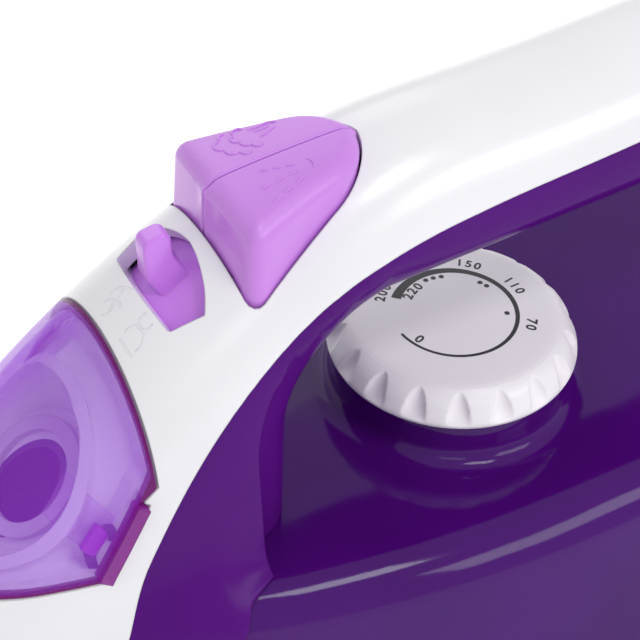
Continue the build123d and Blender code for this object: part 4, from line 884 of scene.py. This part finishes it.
def button(name, side, nodes, body):
    """Half of the button pair: walls that lean in, and an arched top less the fall of its
    rounded edges. Rings run up the walls and in over the top, towards a line inside it."""
    outer = button_side(2.6)
    front, tip = np.array([BUTTON_FRONT, -BUTTON_SEAM]), np.array([BUTTON_TIP, -BUTTON_SEAM])
    front_corner = softened(front, tip, outer[2], 0.6)
    tip_corner = softened(tip, outer[-3], front, 0.6)
    seam = np.linspace(tip_corner[-1], front_corner[0], 16)[1:-1]
    outline = np.vstack([front_corner, outer[2:-2], tip_corner, seam])

    def height(flat, wall):
        falls = edge_drop(wall_distance(flat, wall), TOP_EDGE) * 0.85
        return button_top(*flat.T) - falls - edge_drop(-flat[:, 1] - BUTTON_SEAM, 0.35)

    from_seam = np.clip((-outline[:, 1:] - BUTTON_SEAM) / 1.5, 0.0, 1.0)
    from_tip = np.clip((BUTTON_TIP - outline[:, :1]) / 14.0, 0.2, 1.0)
    wall = outline + inward(outline) * BUTTON_LEAN * BUTTON_RISE * from_seam * from_tip
    # the rounded edge runs from the front corner round to the tip, without the seam
    first, last = len(front_corner) - 1, len(front_corner) + len(outer) - 3
    rim = wall[first:last]
    top = height(wall, rim)
    rings = []
    for level in np.linspace(0.0, 1.0, 7):
        flat = outline + (wall - outline) * level
        rings.append(np.column_stack([flat, BUTTON_FLOOR + level * (top - BUTTON_FLOOR)]))
    spine_x = np.clip(wall[:, 0], -46.0, -30.0)
    spine = np.column_stack([spine_x, np.interp(spine_x, (-46.0, -30.0), (-7.0, -4.4))])
    reach = np.linalg.norm(spine - wall, axis=1, keepdims=True)
    for step in (0.03, 0.1, 0.22, 0.4, 0.65, 1.0, 1.4, 1.9):
        flat = wall + (spine - wall) * np.minimum(step / reach, 0.8)
        rings.append(np.column_stack([flat, height(flat, rim)]))
    rings = np.array(rings)
    rows, columns = rings.shape[:2]
    cap, cells = filled(flat, 0.6)
    start = (rows - 1) * columns
    points = np.vstack([rings[:-1].reshape(-1, 3), np.column_stack([cap, height(cap, rim)])])
    points[:, 1] *= -side
    faces = quads(rows, columns, ring=True).tolist() + [[start + k for k in cell] for cell in cells]
    piece = mesh_object(name, points, faces + [list(range(columns))[::-1]])
    cut(piece, *[band_room(0.15, lift) for lift in (0.0, 1.6, 3.2)])
    dress(piece, body, nodes, LILAC_SIDE, 60.0)
    # the tops take the grained satin; the sides keep the glossy lilac, lifted a little as painted light
    second_finish(piece, LILAC, lambda normals: normals[:, 2] > 0.12)


button("button_spray", -1, ["spray_button"], "spray_plunger")
button("button_steam", 1, ["steam_button"], "steam_plunger")


def ridge(path, width, height, surface):
    """Rings of a raised line on a surface: half an oval over each point of a plan path, which
    sinks in at both ends."""
    aside = left_of(np.gradient(path, axis=0))
    shape = np.array([(-0.5, -0.3), (-0.42, 0.55 * height), (-0.2, height), (0.2, height),
                      (0.42, 0.55 * height), (0.5, -0.3)])
    rise = np.ones(len(path))
    rise[[0, -1]] = 0.2
    flat = path[:, None, :] + aside[:, None, :] * (shape[:, 0] * width)[None, :, None]
    z = surface(flat[..., 0], flat[..., 1]) + np.where(
        shape[:, 1] > 0, shape[:, 1] * rise[:, None], shape[:, 1])
    return np.concatenate([flat, z[..., None]], axis=-1)


def arc_path(centre, radius, first, last, steps=10):
    """Plan arc between two angles in degrees."""
    return np.array(centre) + radius * circle(np.radians(np.linspace(first, last, steps)))


def dashes(start, end, count=3, share=0.72):
    """Short strokes along a straight line."""
    start, end = np.array(start), np.array(end)
    for k in range(count):
        first = start + (end - start) * k / count
        yield np.linspace(first, first + (end - start) * share / count, 4)


def cowl_top(x, y):
    """Height of the cowl over a plan point near its crown."""
    crown, radius = crown_at(x, 1), crown_at(x, 2)
    return crown - radius + arch(radius, y)


spray = [path for far in ((-43.6, -2.3), (-45.3, -6.1), (-44.8, -9.7))
         for path in dashes((-37.6, -3.9 - 0.42 * (-2.3 - far[1])), far)]
spray.append(np.array([(-35.2, -3.6), (-34.9, -4.4), (-34.9, -5.4), (-35.3, -6.2)]))
cloud = [arc_path(centre, radius, first, last) for centre, radius, first, last in (
    ((-41.2, 8.3), 1.0, 20, 190), ((-42.2, 6.8), 1.0, 95, 265), ((-41.2, 5.2), 1.1, 130, 300),
    ((-40.0, 3.9), 0.9, 160, 330), ((-43.5, 8.3), 1.1, 70, 200), ((-44.9, 6.6), 1.3, 80, 260),
    ((-44.0, 4.6), 1.2, 150, 300), ((-42.4, 3.2), 0.9, 170, 320))]
cloud += [np.linspace((-39.8, 7.8), (-35.6, 7.9), 6), np.linspace((-35.6, 7.9), (-34.9, 7.0), 4),
          np.linspace((-35.6, 6.1), (-39.0, 4.9), 6), np.linspace((-36.2, 6.9), (-39.2, 6.7), 5)]
signs = [np.linspace((-67.6, -5.0), (-67.3, -8.6), 6), arc_path((-66.2, -6.6), 1.9, 100, -100, 14),
         arc_path((-63.4, -6.0), 1.2, 60, 300, 10),
         arc_path((-66.8, 1.6), 1.3, -150, 90, 12), arc_path((-64.9, 2.3), 1.1, -120, 120, 10),
         arc_path((-66.0, 0.2), 0.9, -60, 160, 8), np.linspace((-63.9, 3.2), (-62.6, 0.4), 5)]
signs = [path - (1.4, 0.0) for path in signs]
for name, paths, width, height, surface, body, slot, material in (
        ("mark_spray", spray, 0.5, 0.22, button_top, "spray_plunger", "button_lilac", LILAC),
        ("mark_steam", cloud, 0.5, 0.22, button_top, "steam_plunger", "button_lilac", LILAC),
        ("shell_icons", signs, 0.4, 0.05, cowl_top, "body", "shell_white", WHITE)):
    mark = ring_block(name, *[ridge(path, width, height, surface) for path in paths])
    dress(mark, body, [], material)

# ---- steam lever
LEVER_REST = np.radians(5.3376)
FIN_HALF, FIN_EDGE = 2.0, 0.7


def lever_fin():
    """Rings of the finger fin: a side view with round corners, drawn in by r (1 - cos a) as the
    edges of both faces turn over. Its foot spreads by exp(-h / 1.3), h the height over the band."""
    front, front_top, rear_top, rear = np.array([
        (-3.7, 21.0), (0.3, 27.0), (5.0, 25.4), (2.2, 21.0)])
    outline = np.vstack([
        [(front[0], BAND_OUTER - 1.0)], softened(front, np.array([front[0], 17.0]), front_top, 3.0),
        softened(front_top, front, rear_top, 1.6, 8), softened(rear_top, front_top, rear, 1.4, 8),
        softened(rear, rear_top, np.array([rear[0], 17.0]), 3.0), [(rear[0], BAND_OUTER - 1.0)]])
    middle = outline.mean(axis=0)
    turn = np.linspace(0.0, np.pi / 2, 6)
    sides = FIN_HALF - FIN_EDGE * (1 - np.sin(turn))
    insets = FIN_EDGE * (1 - np.cos(turn))
    rings = []
    for side, inset in zip(np.r_[-sides[::-1], sides], np.r_[insets[::-1], insets]):
        flat = outline + (middle - outline) * np.array([1.0, 0.45]) * inset / 3.5
        foot = np.minimum(np.exp(-(flat[:, 1] - BAND_OUTER) / 1.3), 1.0)
        rings.append(lever_place(flat[:, 0], side * (1.0 + 0.9 * foot), flat[:, 1], LEVER_REST))
    return np.array(rings)


lever = ring_block("lever_slider", band_rings(BAND_ARC, 40, turn=LEVER_REST), lever_fin())
dress(lever, "lever", ["steam_lever"], LEVER, 35.0)

# ---- temperature dial
FLUTES = 18
FLUTE_FOOT, FLUTE_TOP, FLUTE_DEPTH = 80.1, 85.3, 1.3
FACE_TOP, FACE_FALL, FACE_RADIUS = 86.63, 0.6, 18.0
ARC_RADIUS = 12.2
DOT_RING, DOT_RADIUS = 9.8, 0.52
DIGIT_HEIGHT, DIGIT_PITCH = 2.7, 1.75


def dial_knob():
    """Dial as a grid of profile and angle; flutes r - d (1 - (a / w)^2)^0.8 are pressed into its
    side, narrow at their top and fading above the rim."""
    profile = np.array([
        (0.0, 79.6), (12.0, 79.6), (21.5, 79.6), (22.3, 79.0), (23.1, 79.0), (23.5, 79.3),
        (23.7, 79.9), (23.6, 80.6), (23.3, 81.4), (22.95, 82.2), (22.5, 83.1), (21.95, 83.9),
        (21.3, 84.6), (20.6, 85.15), (19.8, 85.6), (19.0, 85.85), (18.0, 86.0), (14.0, 86.15),
        (9.0, 86.31), (4.0, 86.47), (0.0, 86.6)])
    along = np.r_[0.0, np.cumsum(np.hypot(*np.diff(profile, axis=0).T))]
    t = np.unique(np.r_[along, np.linspace(along[4], along[16], 60)])
    radius, height = np.interp(t, along, profile[:, 0]), np.interp(t, along, profile[:, 1])
    angle = full_turn(FLUTES * (28))
    off = (angle * FLUTES / (2 * np.pi) + 0.5) % 1.0 - 0.5
    up = np.clip((height - FLUTE_FOOT) / (FLUTE_TOP - FLUTE_FOOT), 0.0, 1.0)
    width = 0.27 * np.sqrt(np.clip(1.0 - up**2.5, 0.0, 1.0)) + 1e-4
    hollow = np.clip(1.0 - (off[None, :] / width[:, None]) ** 2, 0.0, 1.0) ** 0.8
    depth = FLUTE_DEPTH * np.sin(np.pi * up) ** 0.7
    ring = radius[:, None] - depth[:, None] * hollow
    level = np.broadcast_to(height[:, None, None], ring.shape + (1,))
    points = np.concatenate([ring[..., None] * circle(angle), level], axis=-1)
    return mesh_object("dial_knob", points, quads(*ring.shape, ring=True).tolist())


dress(dial_knob(), "dial", ["temperature_dial"], DIAL, 50.0)


def digit(character):
    """Flat outline faces of one digit, about one unit high, centred."""
    curve = bpy.data.curves.new("digit", "FONT")
    curve.body, curve.align_x, curve.align_y = character, "CENTER", "CENTER"
    curve.offset = 0.03
    thing = placed("digit", curve)
    mesh = bpy.data.meshes.new_from_object(thing)
    points = np.array([vertex.co[:2] for vertex in mesh.vertices])
    faces = [list(face.vertices) for face in mesh.polygons]
    bpy.data.objects.remove(thing)
    bpy.data.curves.remove(curve)
    bpy.data.meshes.remove(mesh)
    return points, faces


def dial_print():
    """Arc that swells from its thin end to its thick one, dots and temperatures, as one thin
    film on the dial's face, which rises to its middle."""
    points, faces = [], []

    def add(flat, cells):
        start = sum(len(block) for block in points)
        face = FACE_TOP - FACE_FALL * np.hypot(*flat.T) / FACE_RADIUS
        points.append(np.column_stack([flat, face]))
        faces.extend([[start + k for k in cell] for cell in cells])

    share = np.linspace(0.0, 1.0, 120)
    arc = circle(np.radians(183.0 + 311.0 * share))
    width = 0.55 + 1.35 * share**2
    add(np.vstack([(ARC_RADIUS - width)[:, None] * arc, ARC_RADIUS * arc]),
        quads(2, len(arc)).tolist())
    for spot in (91.0, 81.5, 72.0, 27.5, 18.8, 329.5):
        dot = DOT_RING * circle(np.radians(spot)) + DOT_RADIUS * circle(full_turn(24))
        add(dot, [list(range(24))])
    for label, spot, radius in (("70", 319.0, 14.4), ("110", 4.0, 14.2), ("150", 46.0, 14.0),
                                ("180", 91.0, 14.0), ("200", 131.0, 14.0), ("220", 116.0, 9.2),
                                ("0", 199.0, 10.2)):
        pitch = DIGIT_PITCH / radius
        for place, character in enumerate(label):
            outward = circle(np.radians(spot) + pitch * ((len(label) - 1) / 2 - place))
            beside = np.array([outward[1], -outward[0]])
            shape, cells = digit(character)
            shape = shape * DIGIT_HEIGHT
            add(radius * outward + shape[:, :1] * beside + shape[:, 1:] * outward, cells)
    return mesh_object("dial_print", np.vstack(points), faces, outward=False)


dress(dial_print(), "dial", [], PRINT)

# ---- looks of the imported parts
LOOKS = {
    "plate_steel": STEEL, "element_steel": STEEL, "screw_steel": STEEL, "casting": CASTING,
    "seal_rubber": RUBBER, "skirt_dark": SKIRT, "tank_plum": TANK, "shell_white": WHITE,
    "fairing_purple": FAIRING, "lid_lilac": LID, "lever_plum": LEVER, "inner_white": INNER,
    "button_lilac": LILAC, "hose_clear": INNER, "ring_lilac": LILAC_SIDE, "dial_grey": DIAL,
    "thermostat_brass": BRASS, "ceramic_white": INNER, "wire_grey": WIRE, "lens_amber": LENS}
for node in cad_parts:
    for slot in bpy.data.objects[node].material_slots:
        slot.material = LOOKS[slot.material.name.split(".")[0]]
bpy.data.objects["fill_seal"].material_slots[0].material = SEAL

# ---- studio
LEVEL = 0.62
CLEAR_WHITE = (1.0, 1.0, 1.0, 1.0)


def seen_directly(tree):
    """1 for rays from the camera, off gloss or through glass, which show the white background."""
    rays = shader_node(tree, "LightPath", {}).outputs
    through = sums(tree, "MAXIMUM", rays["Is Transmission Ray"], rays["Is Glossy Ray"])
    return sums(tree, "MAXIMUM", rays["Is Camera Ray"], through)


floor_corners = 4000.0 * np.array([(-1, -1, 0), (1, -1, 0), (1, 1, 0), (-1, 1, 0)])
floor = mesh_object("floor", floor_corners, [[0, 1, 2, 3]], outward=False)
pale = bpy.data.materials.new("floor_pale")
pale.use_nodes = True
tree = pale.node_tree
for label, value in (("Base Color", (0.93, 0.93, 0.94, 1.0)), ("Roughness", 0.9),
                     ("Emission Color", CLEAR_WHITE),
                     ("Emission Strength", sums(tree, "MULTIPLY", seen_directly(tree), LEVEL))):
    feed(tree, tree.nodes["Principled BSDF"].inputs[label], value)
floor.data.materials.append(pale)


def softbox(name, place, aim, width, height, power):
    """Large soft lamp that faces a point."""
    lamp = bpy.data.lights.new(name, "AREA")
    lamp.shape, lamp.size, lamp.size_y, lamp.energy = "RECTANGLE", width, height, power
    back = (np.array(place) - np.array(aim)) / np.linalg.norm(np.array(place) - np.array(aim))
    across = np.cross(UP, back)
    across /= np.linalg.norm(across)
    turn = Matrix(np.column_stack([across, np.cross(back, across), back]).tolist())
    placed(name, lamp).matrix_world = Matrix.Translation(place) @ turn.to_4x4()


softbox("key_light", (0.45, -0.82, 0.68), (0.0, 0.0, 0.08), 0.5, 0.3, 2.8)
softbox("high_light", (0.12, -0.47, 1.07), (-0.04, -0.03, 0.07), 0.28, 0.2, 2.2)
softbox("fill_light", (-0.42, -0.95, 0.85), (0.0, 0.0, 0.08), 0.4, 0.28, 0.8)
softbox("back_light", (0.1, 1.1, 0.8), (0.0, 0.0, 0.08), 1.0, 0.7, 2.4)

world = bpy.data.worlds.new("studio")
bpy.context.scene.world = world
world.use_nodes = True
tree = world.node_tree
tree.nodes.clear()
plain, shown = (shader_node(tree, "Background", {"Color": CLEAR_WHITE, "Strength": strength})
                for strength in (LEVEL, 1.0))
choice = shader_node(tree, "MixShader", {0: seen_directly(tree), 1: plain.outputs[0],
                                         2: shown.outputs[0]})
shader_node(tree, "OutputWorld", {"Surface": choice.outputs[0]})

lens = bpy.data.cameras.new("camera")
lens.sensor_width, lens.lens = 36.0, 95.625
lens.clip_start, lens.clip_end = 0.01, 20.0
camera = placed("camera", lens)
right, up, back = (0.8697, -0.4924, 0.0348), (0.3136, 0.6056, 0.7314), (-0.3812, -0.6252, 0.6811)
turn = Matrix(np.column_stack([right, up, back]).tolist())
camera.matrix_world = Matrix.Translation((-0.14281, -0.18638, 0.29959)) @ turn.to_4x4()
bpy.context.scene.camera = camera
bpy.context.scene.view_settings.view_transform = "Standard"
